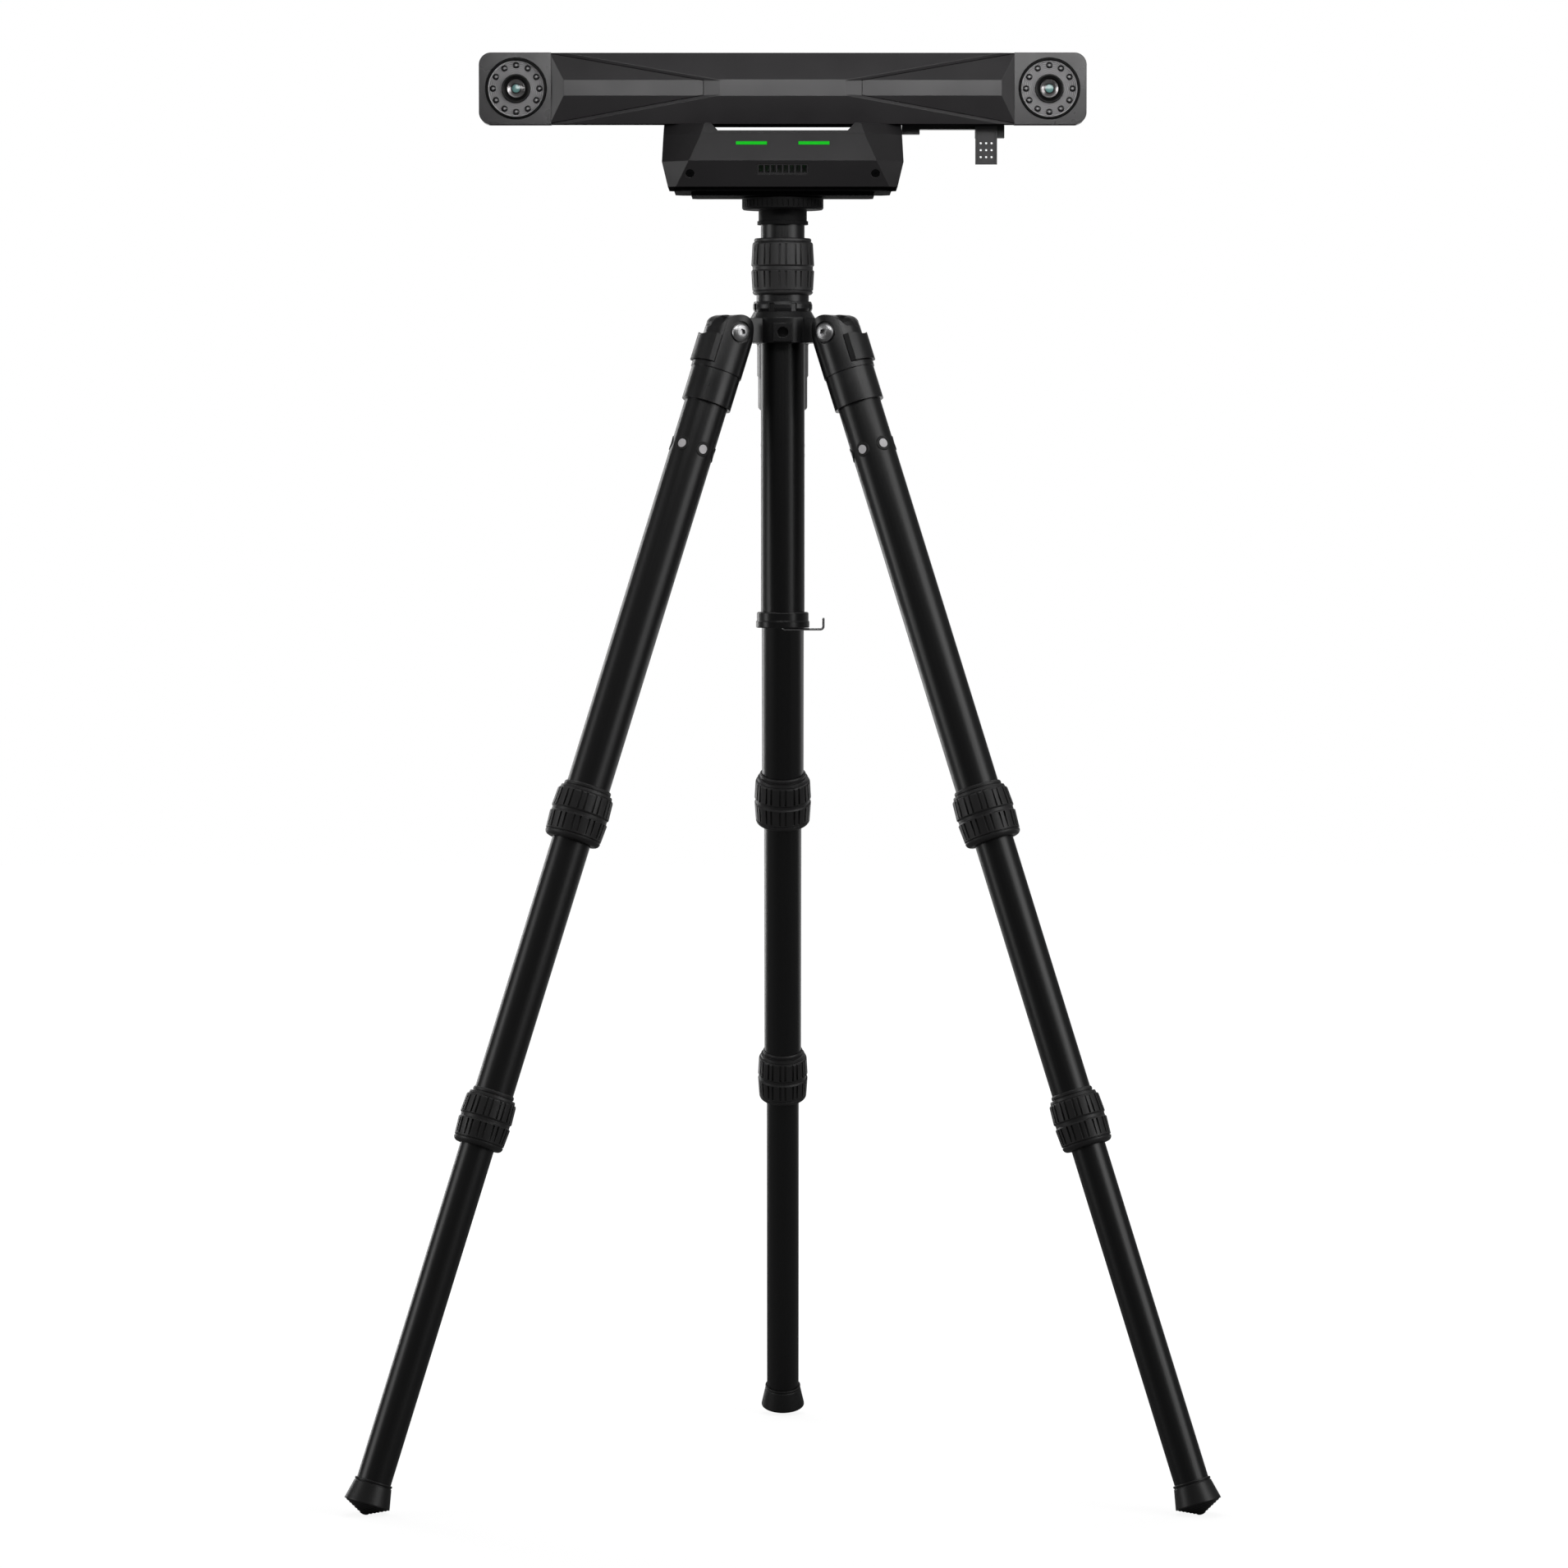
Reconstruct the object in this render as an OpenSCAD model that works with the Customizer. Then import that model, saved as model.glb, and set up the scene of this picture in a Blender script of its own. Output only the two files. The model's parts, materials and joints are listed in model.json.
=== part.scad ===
// Stereo tracking head of a three-d scanner, on a tripod with telescopic legs.
// The origin is on the column's axis at floor level, +Z is up and the eyes look along -Y.

/* [Legs] */
// Lean of an open leg from the vertical
leg_lean = 19.5; // [14:0.5:26]
// Radius of the circle through the three hinge bolts
pivot_r = 46.2; // [45:0.1:56]
// Outer diameter of the upper leg tube
upper_tube_d = 32; // [29:0.5:34]
// Wall of every leg tube
tube_wall = 1.4; // [1:0.1:1.8]
// Gap between a tube and the tube that slides in it
slide_gap = 0.3; // [0.2:0.05:0.4]
// From the hinge to the groove of the upper collar, along the leg
upper_span = 373.2; // [340:0.1:420]
// From the groove of the upper collar to that of the lower collar
middle_span = 232.2; // [200:1:260]
// From the groove of the lower collar to the rim of the foot
lower_span = 270.7; // [240:1:300]
// Length of the middle tube that stays inside the upper tube
middle_overlap = 120; // [90:1:140]
// Length of the lower tube that stays inside the middle tube
lower_overlap = 66; // [50:1:80]

/* [Leg hinge] */
// Diameter of the hinge bolt's shank
bolt_d = 8; // [6:0.5:10]
// Diameter of the hinge bolt's round heads
bolt_head_d = 14.3; // [12:0.1:15]
// Width of the hub's tongue between the cheeks of the yoke
tongue_w = 18; // [15:0.5:20]
// Radius of the tongue's round end
tongue_end_r = 11.5; // [10:0.5:11.5]
// Gap on each side of the tongue
hinge_gap = 0.3; // [0.2:0.05:0.5]
// Diameter of the yoke around the hinge
yoke_d = 38.2; // [37.6:0.1:40]
// Radius of the yoke's rounded top
yoke_top_r = 13; // [12.9:0.1:16]
// Where the yoke steps down to its sleeve, below the hinge
yoke_step = 31.2; // [30:0.1:36]
// Where the sleeve ends, below the hinge
sleeve_end = 56.1; // [50:0.1:70]
// Wall of the sleeve around the upper tube
sleeve_wall = 2.4; // [1.5:0.1:2.8]
// Height of the curved angle stop
stop_h = 20.9; // [18:0.1:22]
// Half of the angle that the angle stop wraps around the yoke
stop_wrap = 51; // [40:1:55]
// Thickness of the angle stop
stop_thick = 3.2; // [2:0.1:4]

/* [Twist collars] */
// Grip slots in each row of a collar, which lie in pairs
grip_slots = 24; // [16:2:28]
// Angle between the two slots of a pair
pair_angle = 11.5; // [9:0.5:12]
// Width of a grip slot
grip_slot_w = 1.5; // [1:0.1:2]
// Depth of a grip slot at the fattest part of the collar
grip_slot_depth = 1.4; // [0.8:0.1:1.8]
// How far the upper leg collar stands out from its tube
upper_collar_swell = 5.6; // [5:0.1:7]
// How far the lower leg collar stands out from its tube
lower_collar_swell = 5; // [4.9:0.1:6]
// How far the column collar stands out from the column
column_collar_swell = 7.05; // [6.5:0.05:9]
// Height of a collar above its groove
collar_top = 22; // [20:0.5:24]
// Height of a collar below its groove
collar_bottom = 19.7; // [18:0.1:22]

/* [Feet and markers] */
// Diameter of the foot's rim
foot_rim_d = 27.8; // [27.5:0.1:31]
// Largest diameter of the foot
foot_d = 33.7; // [32:0.1:38]
// From the rim to the largest diameter
foot_flare = 16.3; // [14:0.1:19]
// Radius of the foot's rounded tip
foot_tip_r = 6; // [4:0.5:8]
// From the rim to the end of the tip
foot_drop = 24.9; // [24:0.1:30]
// Diameter of a marker dot
marker_d = 6.5; // [4:0.5:8]
// Marker dots around each leg
marker_count = 6; // [4:1:8]
// From the hinge to the ring of marker dots, along the leg
marker_at = 90.7; // [70:0.1:160]

/* [Column and hub] */
// Outer diameter of the column tube
column_d = 32.3; // [30:0.1:34]
// Wall of the column tube
column_wall = 1.5; // [1:0.1:2]
// From the flange under the platform to the bottom of the end ring
column_len = 296.9; // [260:0.1:330]
// Length of column that shows between collar and flange
column_show = 10; // [4:0.5:30]
// Diameter of the hub's body
hub_d = 48; // [46:0.5:49]
// Height of the hub's body
hub_h = 18.4; // [18:0.1:24]
// How far the hub's body reaches below the hinge
hub_drop = 7.1; // [7:0.1:9]
// Radius of the threaded accessory socket, to the thread's crest
socket_r = 4; // [3:0.1:5]
// Depth of the accessory socket
socket_depth = 8; // [6:0.5:9]
// Diameter of the notched nut above the hub
nut_d = 43.8; // [42:0.1:46]
// Notches in that nut
nut_notches = 8; // [4:1:12]
// Diameter of the weight hook's wire
hook_wire = 1.8; // [1.4:0.1:2.4]
// Reach of the weight hook from the column's axis
hook_reach = 30.1; // [28:0.1:31]
// Height of the hook's turned-up end above its arm
hook_rise = 7.7; // [6:0.1:14]

/* [Platform and plates] */
// Diameter of the platform disc
disc_d = 60; // [50:1:80]
// Thickness of the platform disc
disc_h = 9; // [6:0.5:12]
// Knurls around the edge of the platform disc
disc_knurls = 48; // [30:1:60]
// Diameter of the platform screw
screw_d = 9.4; // [6:0.1:10]
// Width and depth of the mount plate
mount_size = [134, 62]; // [50:1:160]
// Thickness of the mount plate
mount_h = 3; // [2.5:0.1:6]
// Width and depth of the bottom cover
cover_size = [159, 78]; // [60:1:164]
// Thickness of the bottom cover
cover_h = 2.8; // [2:0.1:5]

/* [Base] */
// Height of the base from its bottom to its front crease
base_low_h = 18.7; // [16:0.1:26]
// Height of the base from its front crease to its shoulder
base_mid_h = 20.3; // [18:0.1:26]
// Height of the chamfer above the shoulder
base_top_h = 8; // [6:0.5:10]
// Half width across the sides at the crease
base_side = 88.5; // [86:0.5:96]
// Half width of the front at the crease
base_front = 68.5; // [66:0.5:72]
// Depth from the axis to the front crease
base_nose = 52; // [50:0.5:56]
// Depth from the axis to the back
base_back = 44; // [42:0.5:50]
// Wall of the base and bar shells
shell_wall = 2.4; // [1.6:0.1:3]
// Half width of the air slot under the bar, at its floor
slot_half = 47.5; // [40:0.5:50]
// Height of the air slot
slot_h = 5.9; // [4:0.1:7]
// Width and height of a light bar
light_size = [22.6, 2.4]; // [1:0.1:30]
// Distance of a light bar from the middle
light_x = 22.8; // [16:0.1:30]
// Width and height of the front vent
vent_size = [37, 8]; // [6:0.5:44]
// Slots in the front vent
vent_slots = 8; // [5:1:10]
// Distance of a front screw from the middle
base_screw_x = 67.7; // [62:0.1:69]
// Radius of a front screw's head
base_screw_r = 2.9; // [2:0.1:3.4]

/* [Bar] */
// Overall width of the bar
bar_w = 446; // [420:1:480]
// Height of the bar
bar_h = 52; // [51:0.5:56]
// Depth from the axis to the front band
bar_nose = 29; // [27:0.5:32]
// Depth from the axis to the back of the bar
bar_back = 29; // [27:0.5:34]
// Half height of the flat band along the front
band_half = 6; // [4:0.5:8]
// How far the top edge lies behind the band
facet_set = 8; // [6:0.5:9]
// How far the wing panels lie below the centre shell
wing_inset = 1.5; // [1:0.1:2]
// Width of the sloped lip around a wing panel
lip_w = 1.7; // [1:0.1:2.2]
// Where the edges of a wing meet the band
wing_tip = 48.5; // [44:0.5:54]
// Where the edges of a wing meet the top and bottom of the bar
wing_root = 160; // [154:0.5:161]
// Where the wing panel's front seam lies
wing_seam = 58; // [56:0.5:64]
// Width of an end block
block_w = 53; // [51:0.5:56]
// Corner radius of an end block
block_r = 9; // [5:0.5:11]
// How far the face of an end block lies behind the front band
block_recess = 9; // [8:0.5:10]
// Width of the slope from the wing's band to the end block
slope_w = 9.5; // [7:0.5:12]

/* [Eyes] */
// Distance of an eye's axis from the end of the bar
eye_x = 27.3; // [25:0.1:29]
// Outer radius of the bezel
bezel_r = 22.5; // [21:0.1:23]
// Width of the bezel's rim
bezel_rim = 1.9; // [1:0.1:2.5]
// Lights around an eye
light_count = 12; // [8:1:14]
// Radius of the circle of lights
light_ring = 17; // [15.5:0.1:17.4]
// Radius of a light
bead_r = 2.4; // [1.5:0.1:2.6]
// Outer radius of the lens barrel
barrel_r = 10.5; // [9.5:0.1:11.5]
// Radius of the lens
lens_r = 7.5; // [6:0.1:8]

/* [Side bracket] */
// Length of the arm between the two blocks, out to the tab
arm_reach = 142; // [134:0.5:146]
// Thickness of the arm
arm_h = 2.5; // [2:0.1:4]
// Width of the perforated tab
tab_w = 16; // [14:0.5:20]
// How far the tab hangs below the bar
tab_drop = 28.5; // [24:0.5:36]
// Diameter of a hole in the tab
tab_hole_d = 1.6; // [1:0.1:2]

/* [Hidden] */
$fn = 48;
// Fits: a bonded or pressed joint, a turning fit, and a clear gap between pieces that move past each other
bond_fit = 0.05;
turn_fit = 0.08;
clear_gap = 0.3;
reach = 400;

LEGS = [["left", 210], ["right", 330], ["rear", 90]];

upper_r = upper_tube_d / 2;
middle_r = upper_r - tube_wall - slide_gap;
lower_r = middle_r - tube_wall - slide_gap;
upper_groove = upper_span;
lower_groove = upper_groove + middle_span;
foot_rim = lower_groove + lower_span;
tip_centre = foot_rim + foot_drop - foot_tip_r;
pivot_z = tip_centre * cos(leg_lean) + foot_tip_r;

yoke_r = yoke_d / 2;
sleeve_r = upper_r + sleeve_wall;
slot_w = tongue_w + 2 * hinge_gap;
slot_floor = tongue_end_r + 3.5;
slot_open = 4;
nose_top = 9.5;
tube_top = slot_floor + 6;
flat_y = yoke_r - 1.5;
bolt_head_h = 3.6;
stop_top = 5.9;
hood_r = (yoke_r + upper_r) / 2;
tube_end_lap = 8;
leg_step = tube_end_lap - collar_bottom - clear_gap;

column_r = column_d / 2;
neck_r = column_r + 3.2;
cone_h = 4.6;
nut_gap = 0.6;
nut_h = 7.6;
neck_show = 4.2;
neck_lap = 4;
hub_top_z = pivot_z - hub_drop + hub_h;
nut_z = hub_top_z + cone_h + nut_gap;
collar_z = nut_z + nut_h + neck_show + collar_bottom;
flange_z = collar_z + collar_top + column_show;
flange_h = 2.7;
flange_r = column_r + 2.6;
platform_neck_r = column_r + 1.65;
platform_neck_h = 8.3;
disc_z = flange_z + flange_h + platform_neck_h;
platform_z = disc_z + disc_h;
tube_seat = 8;
ring_z = flange_z - column_len;
ring_h = 11.6;
ring_step = 5.2;
ring_floor = 3.5;
ring_r = column_r + 3.6;
hook_bend = 2.2;
hook_hole_r = hook_wire / 2 + turn_fit;
hook_flare = hook_bend - hook_wire / 2;
boss_face = hub_d / 2 + 3;
socket_z = pivot_z + 0.4;
screw_r = screw_d / 2;

mount_z = platform_z + clear_gap;
cover_z = mount_z + mount_h;
base_z = cover_z + cover_h;
crease_z = base_z + base_low_h;
shoulder_z = crease_z + base_mid_h;
base_top_z = shoulder_z + base_top_h;
slot_z = base_top_z - slot_h;
split_y = 4;
bar_z = base_top_z + bar_h / 2;
half_h = bar_h / 2;
band_y = -bar_nose;
facet_slope = facet_set / (half_h - band_half);
facet_cos = cos(atan(facet_slope));
bar_split = -5;
block_x = bar_w / 2 - block_w;
eye_at = bar_w / 2 - eye_x;
face_y = band_y + block_recess;
block_half = half_h + 0.3;
block_back = bar_back - 7;
beam_y = 5;
beam_d = 8;
beam_half = 8;
bar_board_size = [150, 1.6, 30];
sink_size = [60, 40];

leg_pieces = ["yoke", "angle_stop", "upper_tube", "markers", "upper_collar", "middle_tube",
    "lower_collar", "lower_tube", "foot"];

// A leg's own frame: the hinge bolt lies along Y at the origin, the leg runs down -Z and +X faces outward.
module on_leg(azimuth) {
    rotate([0, 0, azimuth]) translate([pivot_r, 0, pivot_z]) rotate([0, -leg_lean, 0]) children();
}

// A cylinder along Y, centred on the origin.
module y_cylinder(r, length) {
    rotate([90, 0, 0]) cylinder(r = r, h = length, center = true);
}

// A flat outline in X and Z, given thickness along Y.
module y_plate(length) {
    rotate([90, 0, 0]) linear_extrude(length, center = true) children();
}

// A tube between two distances down the leg.
module leg_tube(r, from, to) {
    translate([0, 0, -to]) difference() {
        cylinder(r = r, h = to - from);
        translate([0, 0, -1]) cylinder(r = r - tube_wall, h = to - from + 2);
    }
}

// Cast fork: two cheeks around the hub's tongue, joined on the outer side by a rounded hood.
// Below the hood lie a recess and a window for the angle stop, then a sleeve for the upper tube.
module yoke() {
    shoulder = 8;
    rise = 30;
    hood_round = 11.6;
    hood_at = [hood_r - hood_round - 0.3, -0.4];
    dome_r = 12.5;
    dome_top = 12.4;
    recess_end = stop_top + stop_h + clear_gap;
    wrap = stop_wrap + 1;
    color("#1c1b1d") difference() {
        union() {
            difference() {
                intersection() {
                    translate([0, 0, -yoke_step]) cylinder(r = yoke_r, h = yoke_step + yoke_top_r);
                    y_plate(2 * yoke_d) union() {
                        circle(r = yoke_top_r);
                        polygon([[-yoke_r, -yoke_step], [yoke_r, -yoke_step], [yoke_r, -shoulder],
                            yoke_top_r * [cos(rise), sin(rise)], yoke_top_r * [-cos(rise), sin(rise)],
                            [-yoke_r, -shoulder]]);
                    }
                }
                translate([0, 0, -recess_end]) rotate([0, 0, -wrap]) rotate_extrude(angle = 2 * wrap)
                    translate([hood_r, 0]) square([yoke_r, recess_end + yoke_d]);
            }
            intersection() {
                translate([0, 0, -recess_end]) rotate([0, 0, -wrap]) rotate_extrude(angle = 2 * wrap)
                    polygon(concat([[0, 0], [hood_r, 0]],
                        [for (a = [0:15:90]) [hood_r - dome_r * (1 - cos(a)),
                            recess_end + dome_top - dome_r * (1 - sin(a))]],
                        [[0, recess_end + dome_top]]));
                y_plate(2 * yoke_d) union() {
                    translate(hood_at) circle(r = hood_round);
                    polygon([[0, -recess_end], [yoke_r, -recess_end], [yoke_r, -shoulder],
                        hood_at + [hood_round, 0], hood_at, [0, 0]]);
                }
            }
            translate([0, 0, -sleeve_end]) cylinder(r = sleeve_r, h = sleeve_end - yoke_step + 1);
        }
        translate([-yoke_d, -slot_w / 2, -slot_floor]) cube([yoke_d + slot_open, slot_w, slot_floor + yoke_d]);
        y_cylinder(tongue_end_r + clear_gap, slot_w);
        translate([0, -slot_w / 2, -slot_floor]) cube([yoke_d, slot_w, slot_floor - nose_top + clear_gap]);
        y_cylinder(bolt_d / 2 + turn_fit, 2 * yoke_d);
        for (side = [-1, 1])
            translate([0, side * (flat_y + yoke_r), 0]) y_cylinder(bolt_head_d / 2 + 1, 2 * yoke_r);
        translate([0, 0, -sleeve_end - 1]) cylinder(r = upper_r + bond_fit, h = sleeve_end + 1 - tube_top);
    }
}

// Curved tab in the yoke's recess, with bevelled sides and a nose that sits between the cheeks.
module angle_stop() {
    inner = hood_r + clear_gap;
    outer = inner + stop_thick;
    bevel = 10;
    edge = 0.9;
    front_edge = outer * [cos(stop_wrap - bevel), sin(stop_wrap - bevel)];
    side_edge = (inner + edge) * [cos(stop_wrap), sin(stop_wrap)];
    scoop_r = 24;
    scoop_depth = 2;
    nose_in = tongue_end_r + clear_gap;
    color("#161517") difference() {
        union() {
            translate([0, 0, -stop_top - stop_h]) rotate([0, 0, -stop_wrap])
                rotate_extrude(angle = 2 * stop_wrap) translate([inner, 0]) square([stop_thick, stop_h]);
            translate([nose_in, -tongue_w / 2, -slot_floor + clear_gap])
                cube([inner - nose_in + 1, tongue_w, slot_floor - clear_gap - nose_top]);
        }
        translate([outer, 0, scoop_r - stop_top - scoop_depth]) rotate([0, 90, 0])
            cylinder(r = scoop_r, h = 2 * stop_thick + 3, center = true);
        for (turn = [0, 1]) mirror([0, turn, 0]) translate([0, 0, -stop_top - stop_h - 1])
            linear_extrude(stop_h + 2)
                polygon([front_edge, side_edge, side_edge + [0, outer], front_edge + [0, outer]]);
    }
}

module upper_tube() {
    color("#0c0c0d") leg_tube(upper_r, tube_top, upper_groove + collar_bottom - tube_end_lap);
}

// Round reflective dots that follow the tube's surface.
module markers() {
    dot_h = 0.4;
    color("#aaa8aa") for (i = [0:marker_count - 1]) intersection() {
        rotate([0, 0, 360 / marker_count * (i + 0.5)]) translate([upper_r, 0, -marker_at]) rotate([0, 90, 0])
            cylinder(d = marker_d, h = upper_r, center = true);
        translate([0, 0, -marker_at - marker_d]) difference() {
            cylinder(r = upper_r + dot_h, h = 2 * marker_d);
            translate([0, 0, -1]) cylinder(r = upper_r, h = 2 * marker_d + 2);
        }
    }
}

// The top of a collar of radius r, from its upper edge down to the barrel.
// A leg's collar has two thin lips there and the column's has one.
function leg_rim(r) = [[r - 4.6, collar_top], [r - 4, collar_top - 0.8], [r - 4, collar_top - 2.4],
    [r - 4.4, collar_top - 2.7], [r - 4.4, collar_top - 3.3], [r - 2.4, collar_top - 3.6],
    [r - 2, collar_top - 5.4], [r - 2.2, collar_top - 5.8], [r - 1.1, collar_top - 6.2],
    [r - 0.7, collar_top - 7.2]];
function column_rim(r) = [[r - 2.9, collar_top], [r - 2.2, collar_top - 0.7], [r - 2.1, collar_top - 2.2],
    [r - 2.5, collar_top - 2.5], [r - 1.4, collar_top - 3.1], [r - 0.9, collar_top - 4.2]];

// Twist-lock collar: a barrel with a groove at z = 0, two rows of grip slots and a rounded lip below.
// The upper row ends at row_top. The bore changes from top_bore to low_bore at the height step.
module twist_collar(r, rim, row_top, top_bore, low_bore, step) {
    round_r = min(3.6, r - 1.3 - low_bore);
    lip_z = round_r - collar_bottom;
    row_from = 2.4;
    row_low = 14;
    pairs = floor(grip_slots / 2);
    difference() {
        rotate_extrude() polygon(concat(
            [[top_bore, collar_top]], rim, [[r, 2.2], [r - 0.9, 1.1], [r - 0.9, -1.1], [r, -2.2]],
            [[r - 0.8, lip_z + 1.1], [r - 1.5, lip_z + 0.8], [r - 1.5, lip_z + 0.4]],
            [for (a = [0:15:75]) [r - 0.9 - round_r * (1 - cos(a)), lip_z - round_r * sin(a)]],
            [[r - 0.9 - round_r, -collar_bottom], [low_bore, -collar_bottom], [low_bore, step],
             [top_bore, step]]));
        for (i = [0:pairs - 1], side = [-1, 1]) rotate([0, 0, 360 / pairs * i + side * pair_angle / 2])
            translate([r - grip_slot_depth, -grip_slot_w / 2, 0]) {
                translate([0, 0, row_from]) cube([2 * grip_slot_depth, grip_slot_w, row_top - row_from]);
                translate([0, 0, -row_low]) cube([2 * grip_slot_depth, grip_slot_w, row_low - row_from]);
            }
    }
}

leg_row_top = 15.4;
column_row_top = 17.4;

module upper_collar() {
    r = upper_r + upper_collar_swell;
    color("#232224") translate([0, 0, -upper_groove])
        twist_collar(r, leg_rim(r), leg_row_top, upper_r + turn_fit, middle_r + clear_gap, leg_step);
}

// Middle tube. It reaches up inside the upper tube and ends inside the lower collar.
module middle_tube() {
    color("#0c0c0d")
        leg_tube(middle_r, upper_groove - middle_overlap, lower_groove + collar_bottom - tube_end_lap);
}

module lower_collar() {
    r = middle_r + lower_collar_swell;
    color("#232224") translate([0, 0, -lower_groove])
        twist_collar(r, leg_rim(r), leg_row_top, middle_r + turn_fit, lower_r + clear_gap, leg_step);
}

module lower_tube() {
    color("#0c0c0d") leg_tube(lower_r, lower_groove - lower_overlap, foot_rim + foot_flare - 2);
}

// Flared rubber foot: a beaded rim with a groove under it, and a conical sole with ridges and a round tip.
module foot() {
    tip_from = 62;
    ridges = 6;
    ridge_depth = 0.5;
    rim_r = foot_rim_d / 2;
    sole_top = [foot_d / 2, -foot_flare - 0.8];
    sole_end = [foot_tip_r * cos(tip_from), -foot_drop + foot_tip_r * (1 - sin(tip_from))];
    color("#151516") translate([0, 0, -foot_rim]) rotate_extrude() polygon(concat(
        [[0, -foot_flare + 2], [lower_r + bond_fit, -foot_flare + 2], [lower_r + bond_fit, 0],
         [rim_r - 0.4, 0], [rim_r, -0.4], [rim_r, -1.4], [rim_r - 0.5, -1.7], [rim_r - 0.5, -2.2],
         [rim_r, -2.6], [foot_d / 2, -foot_flare]],
        [for (i = [0:ridges - 1], part = [0, 0.6])
            sole_top + (sole_end - sole_top) * (i + part) / ridges + [0, part > 0 ? ridge_depth : 0]],
        [for (a = [tip_from:7:90])
            [foot_tip_r * cos(a), -foot_drop + foot_tip_r * (1 - sin(a))]]));
}

// Hinge bolts: a shank through each yoke and tongue with a domed socket head on both ends.
module hinge_bolts() {
    head_r = bolt_head_d / 2;
    side_h = 1.1;
    socket = 2.7;
    face = flat_y + 0.15;
    color("#c9cacc") for (leg = LEGS) on_leg(leg[1]) {
        difference() {
            union() {
                y_cylinder(bolt_d / 2, 2 * face + 1);
                for (side = [-1, 1]) rotate([-90 * side, 0, 0]) translate([0, 0, face])
                    rotate_extrude() polygon(concat([[0, 0], [head_r, 0]], [for (a = [0:15:90])
                        [head_r * cos(a), side_h + (bolt_head_h - side_h) * sin(a)]]));
            }
            for (side = [-1, 1]) rotate([-90 * side, 0, 0]) translate([0, 0, face + 1])
                cylinder(r = socket, h = bolt_head_h, $fn = 6);
        }
    }
}

// Hub: body and neck around the column, three hinge tongues and a threaded socket in front.
module hub() {
    pad = [14, 13.4];
    bore_r = column_r + turn_fit;
    neck_top = collar_z + neck_lap;
    tongue_in = hub_d / 2 - 4;
    color("#141415") difference() {
        union() {
            translate([0, 0, hub_top_z - hub_h]) cylinder(d = hub_d, h = hub_h);
            translate([0, 0, hub_top_z]) cylinder(d1 = hub_d, d2 = nut_d - 1, h = cone_h);
            translate([0, 0, hub_top_z]) cylinder(r = neck_r, h = neck_top - hub_top_z);
            translate([-pad[0] / 2, -boss_face, socket_z - pad[1] / 2]) cube([pad[0], boss_face, pad[1]]);
            for (leg = LEGS) rotate([0, 0, leg[1]]) translate([0, 0, pivot_z]) {
                translate([pivot_r, 0, 0]) y_cylinder(tongue_end_r, tongue_w);
                translate([tongue_in, -tongue_w / 2, -hub_drop])
                    cube([pivot_r - tongue_in, tongue_w, tongue_end_r + hub_drop - 0.5]);
            }
        }
        translate([0, 0, hub_top_z - 2 * hub_h]) cylinder(r = bore_r, h = 2 * hub_h + neck_top);
        for (leg = LEGS) on_leg(leg[1]) y_cylinder(bolt_d / 2 + bond_fit, 2 * tongue_w);
        translate([0, -boss_face + socket_depth / 2, socket_z]) y_cylinder(socket_r, socket_depth + 0.02);
    }
}

// Notched nut that clamps the hub on its neck.
module hub_nut() {
    notch = [3, 4];
    bulge = 0.9;
    color("#1d1c1e") translate([0, 0, nut_z - nut_gap]) difference() {
        rotate_extrude() polygon([[neck_r + bond_fit, 0], [nut_d / 2 - bulge, 0], [nut_d / 2, nut_h * 0.3],
            [nut_d / 2, nut_h * 0.7], [nut_d / 2 - bulge, nut_h], [neck_r + bond_fit, nut_h]]);
        for (i = [0:nut_notches - 1]) rotate([0, 0, 360 / nut_notches * (i + 0.5)])
            translate([nut_d / 2 - notch[0] / 3, -notch[1] / 2, -1])
                cube([notch[0], notch[1], 0.8 * nut_h + 1]);
    }
}

module column_collar() {
    r = column_r + column_collar_swell;
    color("#232224") translate([0, 0, collar_z]) twist_collar(r, column_rim(r), column_row_top,
        column_r + clear_gap, neck_r + turn_fit, neck_lap + clear_gap);
}

module column_tube() {
    color("#0c0c0d") translate([0, 0, ring_z + ring_floor]) difference() {
        cylinder(r = column_r, h = flange_z + tube_seat - ring_z - ring_floor);
        translate([0, 0, -1]) cylinder(r = column_r - column_wall, h = column_len + tube_seat);
    }
}

// Stepped cup on the column's lower end, with a hole for the hook that flares where the wire bends.
module column_end_ring() {
    color("#141415") translate([0, 0, ring_z]) difference() {
        rotate_extrude() polygon([[0, 0], [ring_r - 0.5, 0], [ring_r, 0.5], [ring_r, ring_step - 0.6],
            [ring_r - 0.6, ring_step], [ring_r - 0.6, ring_h - 0.8], [ring_r - 1.4, ring_h],
            [column_r + bond_fit, ring_h], [column_r + bond_fit, ring_floor], [0, ring_floor]]);
        translate([0, 0, -1]) cylinder(r = hook_hole_r, h = ring_h);
        translate([0, 0, -hook_flare])
            cylinder(r1 = hook_hole_r + 1.4 * hook_flare, r2 = hook_hole_r, h = 2 * hook_flare);
    }
}

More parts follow.
